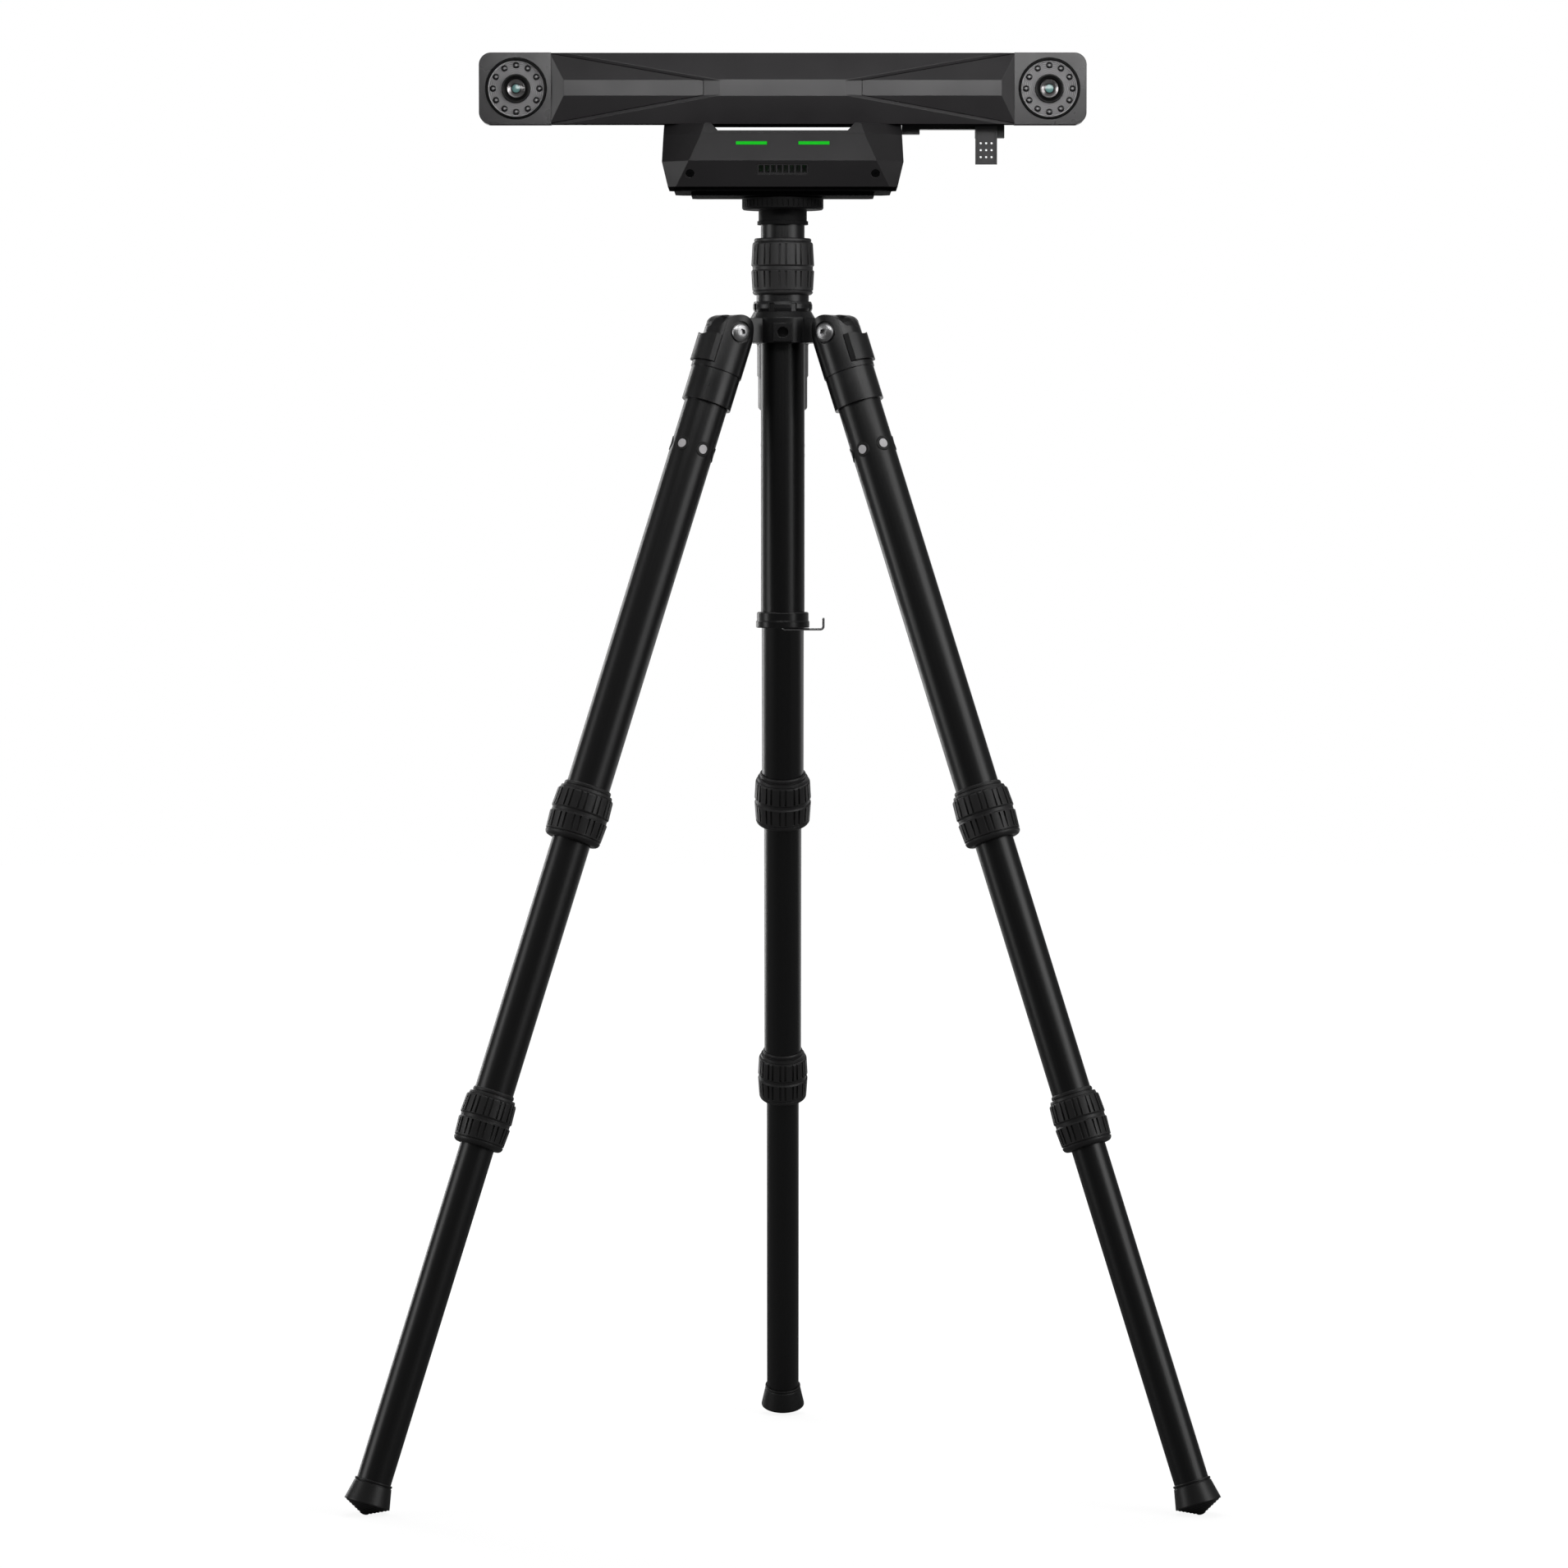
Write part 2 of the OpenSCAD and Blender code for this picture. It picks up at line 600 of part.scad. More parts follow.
// Wire hook: it swivels in the end ring, runs out to the side and turns up.
module weight_hook() {
    r = hook_wire / 2;
    arm_z = ring_z - clear_gap - r;
    stop_h = 2;
    color("#d2d3d5") {
        translate([0, 0, arm_z + hook_bend])
            cylinder(r = r, h = ring_z + ring_floor + stop_h - arm_z - hook_bend);
        translate([0, 0, ring_z + ring_floor + clear_gap]) cylinder(r = 3 * r, h = stop_h);
        translate([hook_bend, 0, arm_z + hook_bend]) rotate([90, 180, 0]) rotate_extrude(angle = 90)
            translate([hook_bend, 0]) circle(r = r);
        translate([hook_bend, 0, arm_z]) rotate([0, 90, 0]) cylinder(r = r, h = hook_reach - 2 * hook_bend);
        translate([hook_reach - hook_bend, 0, arm_z + hook_bend]) rotate([90, 90, 0])
            rotate_extrude(angle = 90) translate([hook_bend, 0]) circle(r = r);
        translate([hook_reach, 0, arm_z + hook_bend]) cylinder(r = r, h = hook_rise - hook_bend);
        translate([hook_reach, 0, arm_z + hook_rise]) sphere(r = r);
    }
}

// Knurled disc on the column's upper end, with a neck and a flange around the tube.
module platform_disc() {
    knurl = 0.5;
    color("#121213") difference() {
        union() {
            translate([0, 0, flange_z]) cylinder(r = flange_r, h = flange_h);
            translate([0, 0, flange_z]) cylinder(r = platform_neck_r, h = disc_z - flange_z + 1);
            translate([0, 0, disc_z]) rotate_extrude() polygon([[0, 0], [disc_d / 2 - 1, 0], [disc_d / 2, 1],
                [disc_d / 2, disc_h - 0.6], [disc_d / 2 - 0.6, disc_h], [0, disc_h]]);
        }
        translate([0, 0, flange_z - 1]) cylinder(r = column_r + bond_fit, h = tube_seat + 1);
        translate([0, 0, flange_z]) cylinder(r = screw_r + bond_fit, h = 2 * column_len);
        for (i = [0:disc_knurls - 1]) rotate([0, 0, 360 / disc_knurls * i])
            translate([disc_d / 2 - knurl, -knurl, disc_z + 2]) cube([2, 2 * knurl, disc_h - 4]);
    }
}

// Screw up through the platform disc into the mount plate.
module platform_screw() {
    head_h = 4;
    head_r = screw_r + 3.3;
    color("#8d8f92") {
        translate([0, 0, flange_z + tube_seat - head_h]) cylinder(r = head_r, h = head_h);
        translate([0, 0, flange_z + tube_seat])
            cylinder(r = screw_r, h = mount_z + mount_h - 0.5 - flange_z - tube_seat);
    }
}

// A flat plate with cut corners, centred on the axis.
module cut_plate(size, h, cut) {
    x = size[0] / 2;
    y = size[1] / 2;
    linear_extrude(h) polygon([[cut - x, -y], [x - cut, -y], [x, cut - y], [x, y - cut], [x - cut, y],
        [cut - x, y], [-x, y - cut], [-x, cut - y]]);
}

module mount_plate() {
    color("#0e0e0f") translate([0, 0, mount_z]) difference() {
        cut_plate(mount_size, mount_h, 4);
        translate([0, 0, -1]) cylinder(r = screw_r + turn_fit, h = mount_h + 2);
    }
}

board_size = [116, 46, 1.6];
board_lift = 7;
post_inset = 5;

// Bottom cover with four posts that carry the control board.
module base_cover() {
    color("#101011") {
        translate([0, 0, cover_z]) cut_plate(cover_size, cover_h, 6);
        for (x = [-1, 1], y = [-1, 1])
            translate([x * (board_size[0] / 2 - post_inset), y * (board_size[1] / 2 - post_inset), base_z])
                cylinder(r = 3, h = board_lift);
    }
}

// The depth at which the plane through three points lies, at a given x and z.
function plane_y(a, b, c, x, z) =
    let (n = cross(b - a, c - a)) a[1] - (n[0] * (x - a[0]) + n[2] * (z - a[2])) / n[1];

// The base's outline at one level: front, sides and back with cut corners. The front corners are flat facets.
// A level holds its height, front depth, front half width, side half width and back depth.
function base_level(i, inset) =
    let (level = [
        [base_z, base_nose - 8, base_front + 9.5, base_side - 4.5, base_back - 4],
        [crease_z, base_nose, base_front, base_side, base_back],
        [shoulder_z, base_nose - 6, base_front - 9, base_side - 0.9, base_back - 2],
        [base_top_z, base_nose - 14, base_front - 11.5, base_side - 1.3, base_back - 6]][i])
    [level[0], inset - level[1], level[2] - 0.8 * inset, level[3] - inset, level[4] - inset];

function base_corner(i, inset) = let (v = base_level(i, inset)) [v[2], v[1], v[0]];

// Depth of the point where the corner facet meets the side. Each facet starts from the crease's corner cut.
function side_y(i, inset) =
    let (cut = 18, v = base_level(i, inset), low = base_level(1, inset),
        crease_side = [low[3], low[1] + cut, low[0]])
    i == 1 ? crease_side[1]
    : i < 3 ? plane_y(base_corner(1, inset), base_corner(i, inset), crease_side, v[3], v[0])
    : let (under = base_level(2, inset), under_side = [under[3], side_y(2, inset), under[0]])
        plane_y(base_corner(2, inset), base_corner(3, inset), under_side, v[3], v[0]);

function base_ring(i, inset) =
    let (v = base_level(i, inset), back_cut = 12, sy = side_y(i, inset), by = v[4] - back_cut)
    [[-v[2], v[1], v[0]], [v[2], v[1], v[0]], [v[3], sy, v[0]], [v[3], by, v[0]],
     [v[3] - back_cut, v[4], v[0]], [back_cut - v[3], v[4], v[0]], [-v[3], by, v[0]], [-v[3], sy, v[0]]];

// A closed solid through a list of rings that all have the same number of points.
module loft(rings) {
    n = len(rings[0]);
    last = (len(rings) - 1) * n;
    polyhedron(
        points = [for (ring = rings, p = ring) p],
        faces = concat(
            [[for (i = [0:n - 1]) i]],
            [[for (i = [n - 1:-1:0]) last + i]],
            [for (k = [0:len(rings) - 2], i = [0:n - 1])
                let (j = (i + 1) % n, a = k * n) [a + i, a + n + i, a + n + j, a + j]]));
}

// Point between two rings, for a level that lies between them.
function ring_between(a, b, t) = [for (i = [0:len(a) - 1]) a[i] * (1 - t) + b[i] * t];

// The whole hollow base before it is split: outer facets, cavity, bottom opening and the air slot on top.
module base_body() {
    slot_flare = 6;
    low = base_ring(0, shell_wall);
    mid = base_ring(1, shell_wall);
    high = base_ring(2, shell_wall);
    floor_t = shell_wall / base_low_h;
    roof_t = (min(slot_z, shoulder_z) - shell_wall - crease_z) / base_mid_h;
    difference() {
        loft([for (i = [0:3]) base_ring(i, 0)]);
        loft([ring_between(low, mid, floor_t), mid, ring_between(mid, high, roof_t)]);
        translate([0, 0, base_z - 1]) cut_plate(cover_size - [20, 18], shell_wall + 2, 4);
        y_plate(2 * reach) polygon([[-slot_half, slot_z], [slot_half, slot_z],
            [slot_half + slot_flare, base_top_z + 1], [-slot_half - slot_flare, base_top_z + 1]]);
    }
}

// Places a child on the base's upper or lower front face: X across, Y up the face, Z out of it.
module on_front(level_a, level_b, z) {
    a = base_level(level_a, 0);
    b = base_level(level_b, 0);
    t = (z - a[0]) / (b[0] - a[0]);
    translate([0, a[1] + t * (b[1] - a[1]), z])
        rotate([90 + atan2(a[1] - b[1], b[0] - a[0]), 0, 0]) children();
}

light_z = crease_z + 12.9;
vent_z = crease_z - 6.3;
screw_z = crease_z - 9.3;
screw_sink = 2.2;

module base_front_shell() {
    color("#39373a") difference() {
        intersection() {
            base_body();
            translate([-reach, -reach, 0]) cube([2 * reach, reach + split_y, 4 * reach]);
        }
        for (side = [-1, 1]) {
            on_front(1, 2, light_z) translate([side * light_x, 0, 0])
                cube([light_size[0] + 2 * bond_fit, light_size[1] + 2 * bond_fit, 4 * shell_wall],
                    center = true);
            on_front(1, 0, screw_z) translate([side * base_screw_x, 0, -screw_sink]) {
                cylinder(r = base_screw_r + clear_gap, h = 3 * screw_sink);
                translate([0, 0, -4 * screw_sink])
                    cylinder(r = base_screw_r / 2 + bond_fit, h = 5 * screw_sink);
            }
        }
        on_front(1, 0, vent_z) cube([vent_size[0] + 2 * bond_fit, vent_size[1] + 2 * bond_fit, 6 * shell_wall],
            center = true);
    }
}

// Rear shell with a round power inlet, a data port and a row of cooling slots.
module base_rear_shell() {
    inlet_r = 4;
    port = [9.4, 3.6];
    port_x = 20;
    cool_slots = 7;
    cool_pitch = 6;
    port_z = crease_z - 4;
    color("#39373a") difference() {
        intersection() {
            base_body();
            translate([-reach, split_y + bond_fit, 0]) cube([2 * reach, reach, 4 * reach]);
        }
        translate([-port_x, base_back, port_z]) y_cylinder(inlet_r, 6 * shell_wall);
        translate([port_x, base_back, port_z]) y_plate(6 * shell_wall) square(port, center = true);
        for (i = [0:cool_slots - 1])
            translate([(i - (cool_slots - 1) / 2) * cool_pitch, base_back, crease_z + base_mid_h / 2])
                y_plate(6 * shell_wall) square([cool_pitch / 2, base_mid_h / 3], center = true);
    }
}

module base_lights() {
    proud = 0.2;
    color("#10c020") for (side = [-1, 1]) on_front(1, 2, light_z)
        translate([side * light_x - light_size[0] / 2, -light_size[1] / 2, proud - shell_wall])
            cube([light_size[0], light_size[1], shell_wall]);
}

// Grille in the front vent: a frame with upright bars.
module base_vent() {
    rim = 1;
    bar = 1.1;
    depth = shell_wall;
    sink = 0.5;
    open = vent_size - [2 * rim, 2 * rim];
    pitch = (open[0] + bar) / vent_slots;
    color("#17161a") on_front(1, 0, vent_z) translate([0, 0, -depth - sink]) difference() {
        translate([-vent_size[0] / 2, -vent_size[1] / 2, 0]) cube([vent_size[0], vent_size[1], depth]);
        for (i = [0:vent_slots - 1])
            translate([i * pitch - open[0] / 2, -open[1] / 2, -1]) cube([pitch - bar, open[1], depth + 2]);
    }
}

// Two screws sunk in the front face.
module base_screws() {
    head_h = 1.4;
    color("#1a1a1c") for (side = [-1, 1]) on_front(1, 0, screw_z)
        translate([side * base_screw_x, 0, -screw_sink]) difference() {
            union() {
                cylinder(r = base_screw_r, h = head_h);
                translate([0, 0, -2 * shell_wall]) cylinder(r = base_screw_r / 2, h = 2 * shell_wall + 0.5);
            }
            translate([0, 0, 0.6]) cylinder(r = base_screw_r * 0.45, h = 2, $fn = 6);
        }
}

module base_board() {
    color("#1d5c37") translate([-board_size[0] / 2, -board_size[1] / 2, base_z + board_lift]) cube(board_size);
}

// Finned heat sink on the control board.
module heat_sink() {
    size = sink_size;
    foot_h = 2.5;
    fin_h = 10;
    fins = 9;
    fin_w = 1.6;
    pitch = (size[1] - fin_w) / (fins - 1);
    color("#9a9c9f") translate([-size[0] / 2, -size[1] / 2, base_z + board_lift + board_size[2]]) {
        cube([size[0], size[1], foot_h]);
        for (i = [0:fins - 1]) translate([0, i * pitch, 0]) cube([size[0], fin_w, foot_h + fin_h]);
    }
}

// A bar profile in Y and Z carried along X between two places.
module along_x(from, to) {
    translate([from, 0, bar_z]) rotate([90, 0, 90]) linear_extrude(to - from) children();
}

// Front profile of the bar, set in by i: flat band, sloping facets, and a top edge set in by e.
function facet_y(i, z) = band_y + i / facet_cos + facet_slope * (z - band_half);
function band_edge(i) = band_half - i * (1 / facet_cos - 1) / facet_slope;
function front_profile(i, e, back) =
    let (z = half_h - e, y = facet_y(i, z), b = band_edge(i))
    [[back, z], [y, z], [band_y + i, b], [band_y + i, -b], [y, -z], [back, -z]];

// The edge of a wing on the upper facet: where it starts, its run, and the facet's outward direction.
edge_start = [wing_tip, band_y, band_half];
edge_run = [wing_root - wing_tip, facet_set, half_h - band_half];
edge_dir = edge_run / norm(edge_run);
facet_out = [0, -facet_cos, facet_slope * facet_cos];
edge_in = cross(edge_dir, facet_out) * (cross(edge_dir, facet_out)[2] < 0 ? 1 : -1);
lip_down = (edge_in * lip_w - facet_out * wing_inset) / norm([lip_w, wing_inset]);
lip_out = cross(edge_dir, lip_down) * (cross(edge_dir, lip_down)[2] > 0 ? 1 : -1);
seat_start = edge_start + edge_in * lip_w - facet_out * wing_inset;
seat_slope = edge_run[2] / edge_run[0];
wing_depth = 15;
ramp_lead = 2.5;

// Everything on the wing's side of the sloped lip, for the upper edge.
module under_lip() {
    m = [edge_dir, cross(lip_out, edge_dir), lip_out];
    size = 2 * reach;
    multmatrix([[m[0][0], m[1][0], m[2][0], edge_start[0]], [m[0][1], m[1][1], m[2][1], edge_start[1]],
        [m[0][2], m[1][2], m[2][2], edge_start[2] + bar_z], [0, 0, 0, 1]])
        translate([-size / 2, -size / 2, -size]) cube(size);
}

// Mirrors a child across the bar's middle height.
module flip_bar() {
    translate([0, 0, 2 * bar_z]) mirror([0, 0, 1]) children();
}

// The recess that a wing panel lies in, down to the panel's surface, on the right side.
// Before the seam its floor rises on a ramp to the band.
module wing_lip() {
    ramp_from = wing_tip - ramp_lead;
    ramp_slope = wing_inset / (wing_seam - ramp_from);
    difference() {
        intersection() {
            under_lip();
            flip_bar() under_lip();
            translate([ramp_from - 1, -reach, 0]) cube([reach, reach - bar_nose + wing_depth, 4 * reach]);
        }
        along_x(0, reach) polygon(front_profile(wing_inset, -5, reach));
        translate([0, 0, bar_z - reach]) linear_extrude(2 * reach)
            polygon([[ramp_from - 1, band_y - ramp_slope], [wing_seam, band_y + wing_inset],
                [wing_seam, reach], [ramp_from - 1, reach]]);
    }
}

// The wedge-shaped place of a wing panel, on the right side, made smaller all round by gap.
module wing_wedge(gap) {
    from = wing_seam + gap;
    far = bar_w;
    function edge(x) = seat_start[2] + (x - seat_start[0]) * seat_slope - gap;
    translate([0, band_y - 5, bar_z]) rotate([90, 0, 0]) mirror([0, 0, 1]) linear_extrude(wing_depth + 5 - gap)
        polygon([[from, edge(from)], [far, edge(far)], [far, -edge(far)], [from, -edge(from)]]);
}

// Long front shell of the bar, with a wedge-shaped opening for each wing.
module bar_centre_shell() {
    end = block_x - bond_fit;
    color("#39373a") difference() {
        along_x(-end, end) polygon(front_profile(0, 0, bar_split));
        along_x(-reach, reach) polygon(front_profile(shell_wall, shell_wall, bar_split + 1));
        for (side = [0, 1]) mirror([side, 0, 0]) {
            wing_lip();
            wing_wedge(0);
        }
    }
}

// Wing panel: a sunken panel that ends in a slope down to the end block.
module wing() {
    slope_x = block_x - slope_w;
    slope_top = band_y + wing_inset;
    back = band_y + wing_depth - clear_gap;
    color("#3d3b3e") intersection() {
        wing_wedge(clear_gap);
        difference() {
            along_x(wing_seam, block_x - bond_fit) polygon(front_profile(wing_inset, 0.1, reach));
            along_x(0, slope_x - shell_wall)
                polygon(front_profile(wing_inset + shell_wall, shell_wall, 2 * reach));
            translate([0, 0, bar_z - reach]) linear_extrude(2 * reach)
                polygon([[slope_x, slope_top], [slope_x, slope_top - reach],
                    [block_x + slope_w, slope_top - reach], [block_x + slope_w, 2 * face_y - slope_top]]);
            translate([-reach, back, 0]) cube([2 * reach, reach, 4 * reach]);
        }
    }
}

module left_wing() { mirror([1, 0, 0]) wing(); }
module right_wing() { wing(); }

rear_taper = 6;
rear_shoulder = bar_back - 5;
pad_half = base_side - 2;
beam_post_x = 60;

// Rear profile of the bar, set in by i.
function rear_profile(i) =
    let (z = half_h - i, t = half_h - rear_taper - i)
    [[bar_split, z], [rear_shoulder - i, t], [bar_back - i, t - 6], [bar_back - i, 6 - t],
     [rear_shoulder - i, -t], [bar_split, -z]];

// Rear cover with tapered top and bottom, a flat pad over the base, cooling slots and posts for the beam.
module bar_rear_cover() {
    end = block_x - bond_fit;
    from = bar_split + bond_fit;
    cool_slots = 11;
    cool_pitch = 9;
    post_r = 4;
    color("#2e2c2f") {
        difference() {
            intersection() {
                union() {
                    along_x(-end, end) polygon(rear_profile(0));
                    translate([-pad_half, from, bar_z - half_h])
                        cube([2 * pad_half, rear_shoulder - from, half_h]);
                }
                translate([-reach, from, 0]) cube([2 * reach, reach, 4 * reach]);
            }
            along_x(-reach, reach) polygon(concat(rear_profile(shell_wall), [[-reach, shell_wall - half_h],
                [-reach, half_h - shell_wall]]));
            for (i = [0:cool_slots - 1])
                translate([(i - (cool_slots - 1) / 2) * cool_pitch, bar_back, bar_z])
                    y_plate(6 * shell_wall) square([cool_pitch / 3, half_h * 0.8], center = true);
        }
        for (side = [-1, 1]) translate([side * beam_post_x, 0, bar_z]) rotate([-90, 0, 0])
            translate([0, 0, beam_y + beam_d])
                cylinder(r = post_r, h = bar_back - shell_wall / 2 - beam_y - beam_d);
    }
}

// Rounded outline of an end block, set in by i. The inner corners are square.
module block_outline(i) {
    w = block_w - 2 * i;
    r = block_r - i;
    h = block_half - i;
    translate([block_x + i, 0]) {
        translate([0, -h]) square([w - r, 2 * h]);
        translate([0, r - h]) square([w, 2 * (h - r)]);
        for (side = [-1, 1]) translate([w - r, side * (h - r)]) circle(r = r);
    }
}

// Side profile of an end block, set in by i: a flat face, then a top and bottom that taper towards the back.
function block_side(i) =
    let (h = block_half - i, t = h - rear_taper)
    [[face_y + i, h], [bar_split, h], [block_back - i, t], [block_back - i, -t], [bar_split, -h],
     [face_y + i, -h]];

module block_form(i) {
    intersection() {
        translate([0, 0, bar_z]) y_plate(2 * reach) block_outline(i);
        along_x(0, reach) polygon(block_side(i));
    }
}

// Hollow end block with a round opening for the eye, open inward for the beam.
module end_block() {
    color("#4b494c") difference() {
        block_form(0);
        block_form(shell_wall);
        translate([eye_at, face_y, bar_z]) y_cylinder(bezel_r + bond_fit, 4 * shell_wall);
        translate([block_x - 1, beam_y - clear_gap, bar_z - beam_half - clear_gap])
            cube([2 * shell_wall, beam_d + 2 * clear_gap, 2 * (beam_half + clear_gap)]);
    }
}

module left_end_block() { mirror([1, 0, 0]) end_block(); }
module right_end_block() { end_block(); }

// An eye's own frame, on both sides: Z points out of the end block's face.
module on_eyes() {
    for (side = [-1, 1]) translate([side * eye_at, face_y, bar_z]) rotate([90, 0, 0]) children();
}

bezel_in = bezel_r - bezel_rim;
plate_z = -1.9;
plate_h = 1.5;

module lens_bezels() {
    ledge = 1.4;
    proud = 1.6;
    back = plate_z - plate_h - bond_fit;
    color("#070707") on_eyes() rotate_extrude() polygon([[bezel_in - ledge, back - ledge],
        [bezel_r, back - ledge], [bezel_r, proud - 0.5], [bezel_r - 0.5, proud], [bezel_in + 0.4, proud],
        [bezel_in, proud - 0.6], [bezel_in, back], [bezel_in - ledge, back]]);
}

// Patterned plates that hold the ring of lights around each lens.
module led_plates() {
    color("#8f8d90") on_eyes() translate([0, 0, plate_z - plate_h]) difference() {
        cylinder(r = bezel_in - bond_fit, h = plate_h);
        translate([0, 0, -1]) cylinder(r = barrel_r + bond_fit, h = plate_h + 2);
        for (i = [0:light_count - 1]) rotate([0, 0, 360 / light_count * i])
            translate([light_ring, 0, -1]) cylinder(r = bead_r + bond_fit, h = plate_h + 2);
    }
}

// Domed infrared lights.
module led_beads() {
    dome = 1.2;
    color("#2a292c") on_eyes() for (i = [0:light_count - 1]) rotate([0, 0, 360 / light_count * i])
        translate([light_ring, 0, plate_z - plate_h]) rotate_extrude()
            polygon(concat([[0, 0], [bead_r, 0]],
                [for (a = [0:15:90]) [bead_r * cos(a), plate_h + dome * sin(a)]]));
}

lens_back = -6;

// Lens barrels, from a seat on the beam out to a chamfered mouth around the lens.
module lens_barrels() {
    mouth = 0.8;
    chamfer_to = -2.4;
    color("#0b0b0c") on_eyes() rotate_extrude() polygon([[0, face_y - beam_y], [barrel_r, face_y - beam_y],
        [barrel_r, mouth - 0.4], [barrel_r - 0.4, mouth], [barrel_r - 1, mouth],
        [lens_r + bond_fit, chamfer_to], [lens_r + bond_fit, lens_back - bond_fit], [0, lens_back - bond_fit]]);
}

module lens_glasses() {
    dome_h = 2.6;
    rim_z = -3;
    color("#5a7f80") on_eyes() rotate_extrude() polygon(concat([[0, lens_back], [lens_r, lens_back]],
        [for (a = [0:10:90]) [lens_r * cos(a), rim_z + dome_h * sin(a)]]));
}

// Stiff beam through both end blocks, which keeps the eyes in line.
module bar_beam() {
    end = eye_at + barrel_r;
    color("#85878a") translate([-end, beam_y, bar_z - beam_half]) cube([2 * end, beam_d, 2 * beam_half]);
}

// Main board on the front of the beam.
module bar_board() {
    size = bar_board_size;
    color("#1d5c37") translate([-size[0] / 2, beam_y - size[1], bar_z - size[2] / 2]) cube(size);
}

bracket_y = 4;
bracket_d = 12;
bar_floor = bar_z - half_h;
under_block = bar_z - block_half - bond_fit;

// Bracket under the right half of the bar: an arm between two blocks, seated on the tapered cover.
module side_bracket() {
    inner = [base_side - 0.5, base_side + 12.5, 6];
    outer = [arm_reach, arm_reach + 21.5, 8.7];
    color("#1b1a1c") difference() {
        union() {
            translate([inner[0], bracket_y, bar_floor - arm_h])
                cube([outer[1] - inner[0], bracket_d, arm_h + rear_taper]);
            for (block = [inner, outer]) translate([block[0], bracket_y, bar_floor - block[2]])
                cube([block[1] - block[0], bracket_d, block[2]]);
        }
        along_x(0, reach) polygon(rear_profile(0));
        translate([0, -reach / 2, 0]) cube([pad_half + bond_fit, reach, bar_floor + reach]);
        translate([block_x - bond_fit, -reach / 2, under_block]) cube(reach);
    }
}

// Perforated tab that hangs in front of the outer block.
module bracket_tab() {
    thick = 4;
    border = 1.4;
    sink = 0.8;
    pitch = [4, 5.1];
    holes_z = bar_floor - 18;
    color("#2b2a2d") translate([arm_reach, bracket_y - thick, 0]) difference() {
        translate([0, 0, bar_floor - tab_drop]) cube([tab_w, thick, under_block - bar_floor + tab_drop]);
        translate([border, -1, bar_floor - tab_drop + border])
            cube([tab_w - 2 * border, 1 + sink, tab_drop - arm_h - 2 * border]);
        for (i = [-1:1], k = [-1:1]) translate([tab_w / 2 + i * pitch[0], thick / 2, holes_z + k * pitch[1]])
            y_cylinder(tab_hole_d / 2, 2 * thick);
    }
}

for (leg = LEGS) on_leg(leg[1]) {
    yoke();
    angle_stop();
    upper_tube();
    markers();
    upper_collar();
    middle_tube();
    lower_collar();
    lower_tube();
    foot();
}
hinge_bolts();
hub();
hub_nut();
column_collar();
column_tube();
column_end_ring();
weight_hook();
platform_disc();
platform_screw();
mount_plate();
base_cover();
base_front_shell();
base_rear_shell();
base_lights();
base_vent();
base_screws();
base_board();
heat_sink();
bar_centre_shell();
bar_rear_cover();
left_wing();
right_wing();
left_end_block();
right_end_block();
lens_bezels();
led_plates();
led_beads();
lens_barrels();
lens_glasses();
bar_beam();
bar_board();
side_bracket();
bracket_tab();
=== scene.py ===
"""Stereo tracking head on a telescopic tripod: its finishes and trim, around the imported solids.

Metres, +Z up, the column's axis at x = y = 0, and the viewer at -Y.
"""

import json
import math

import bmesh
import bpy
from mathutils import Euler, Matrix, Vector


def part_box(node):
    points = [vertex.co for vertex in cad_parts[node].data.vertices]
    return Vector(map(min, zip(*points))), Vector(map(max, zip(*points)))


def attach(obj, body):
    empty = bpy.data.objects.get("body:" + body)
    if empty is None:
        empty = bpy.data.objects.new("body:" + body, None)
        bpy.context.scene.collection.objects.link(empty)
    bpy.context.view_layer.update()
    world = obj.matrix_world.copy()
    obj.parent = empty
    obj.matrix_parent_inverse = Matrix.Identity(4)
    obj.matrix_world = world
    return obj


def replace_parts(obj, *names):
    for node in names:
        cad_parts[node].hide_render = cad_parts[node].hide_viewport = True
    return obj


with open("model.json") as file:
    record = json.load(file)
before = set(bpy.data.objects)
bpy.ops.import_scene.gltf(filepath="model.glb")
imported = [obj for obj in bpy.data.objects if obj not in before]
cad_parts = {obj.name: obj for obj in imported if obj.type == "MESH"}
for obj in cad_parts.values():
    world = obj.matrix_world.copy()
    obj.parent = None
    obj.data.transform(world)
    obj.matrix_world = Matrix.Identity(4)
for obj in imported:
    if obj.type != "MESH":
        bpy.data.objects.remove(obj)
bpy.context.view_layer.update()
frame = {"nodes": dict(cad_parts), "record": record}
solids = frame["nodes"]

# Leg yokes, hub and other castings
# The yokes at the top of the legs, the hub with its nut, and the cup on the column's lower end.
# Aluminium castings, machined at their bores and powder coated, which leaves a fine orange-peel grain.
LEGS = ("left", "right", "rear")
CASTINGS = [f"{leg}_leg_yoke" for leg in LEGS] + ["hub", "hub_nut", "column_end_ring"]
SMOOTHER, DULLER = 0.04, 0.05


def new_finish(name, colour, roughness):
    """A material of one principled shader, with its node tree, its shader and the piece's own coordinates."""
    material = bpy.data.materials.new(name)
    material.use_nodes = True
    tree = material.node_tree
    shader = tree.nodes["Principled BSDF"]
    shader.inputs["Base Color"].default_value = (*colour, 1)
    shader.inputs["Roughness"].default_value = roughness
    place = tree.nodes.new("ShaderNodeTexCoord").outputs["Object"]
    return material, tree, shader, place


def grain(tree, place, size, detail=3.0):
    """Noise with lumps of the given size, from 0 to 1."""
    noise = tree.nodes.new("ShaderNodeTexNoise")
    noise.inputs["Scale"].default_value = 1 / size
    noise.inputs["Detail"].default_value = detail
    tree.links.new(place, noise.inputs["Vector"])
    return noise.outputs["Fac"]


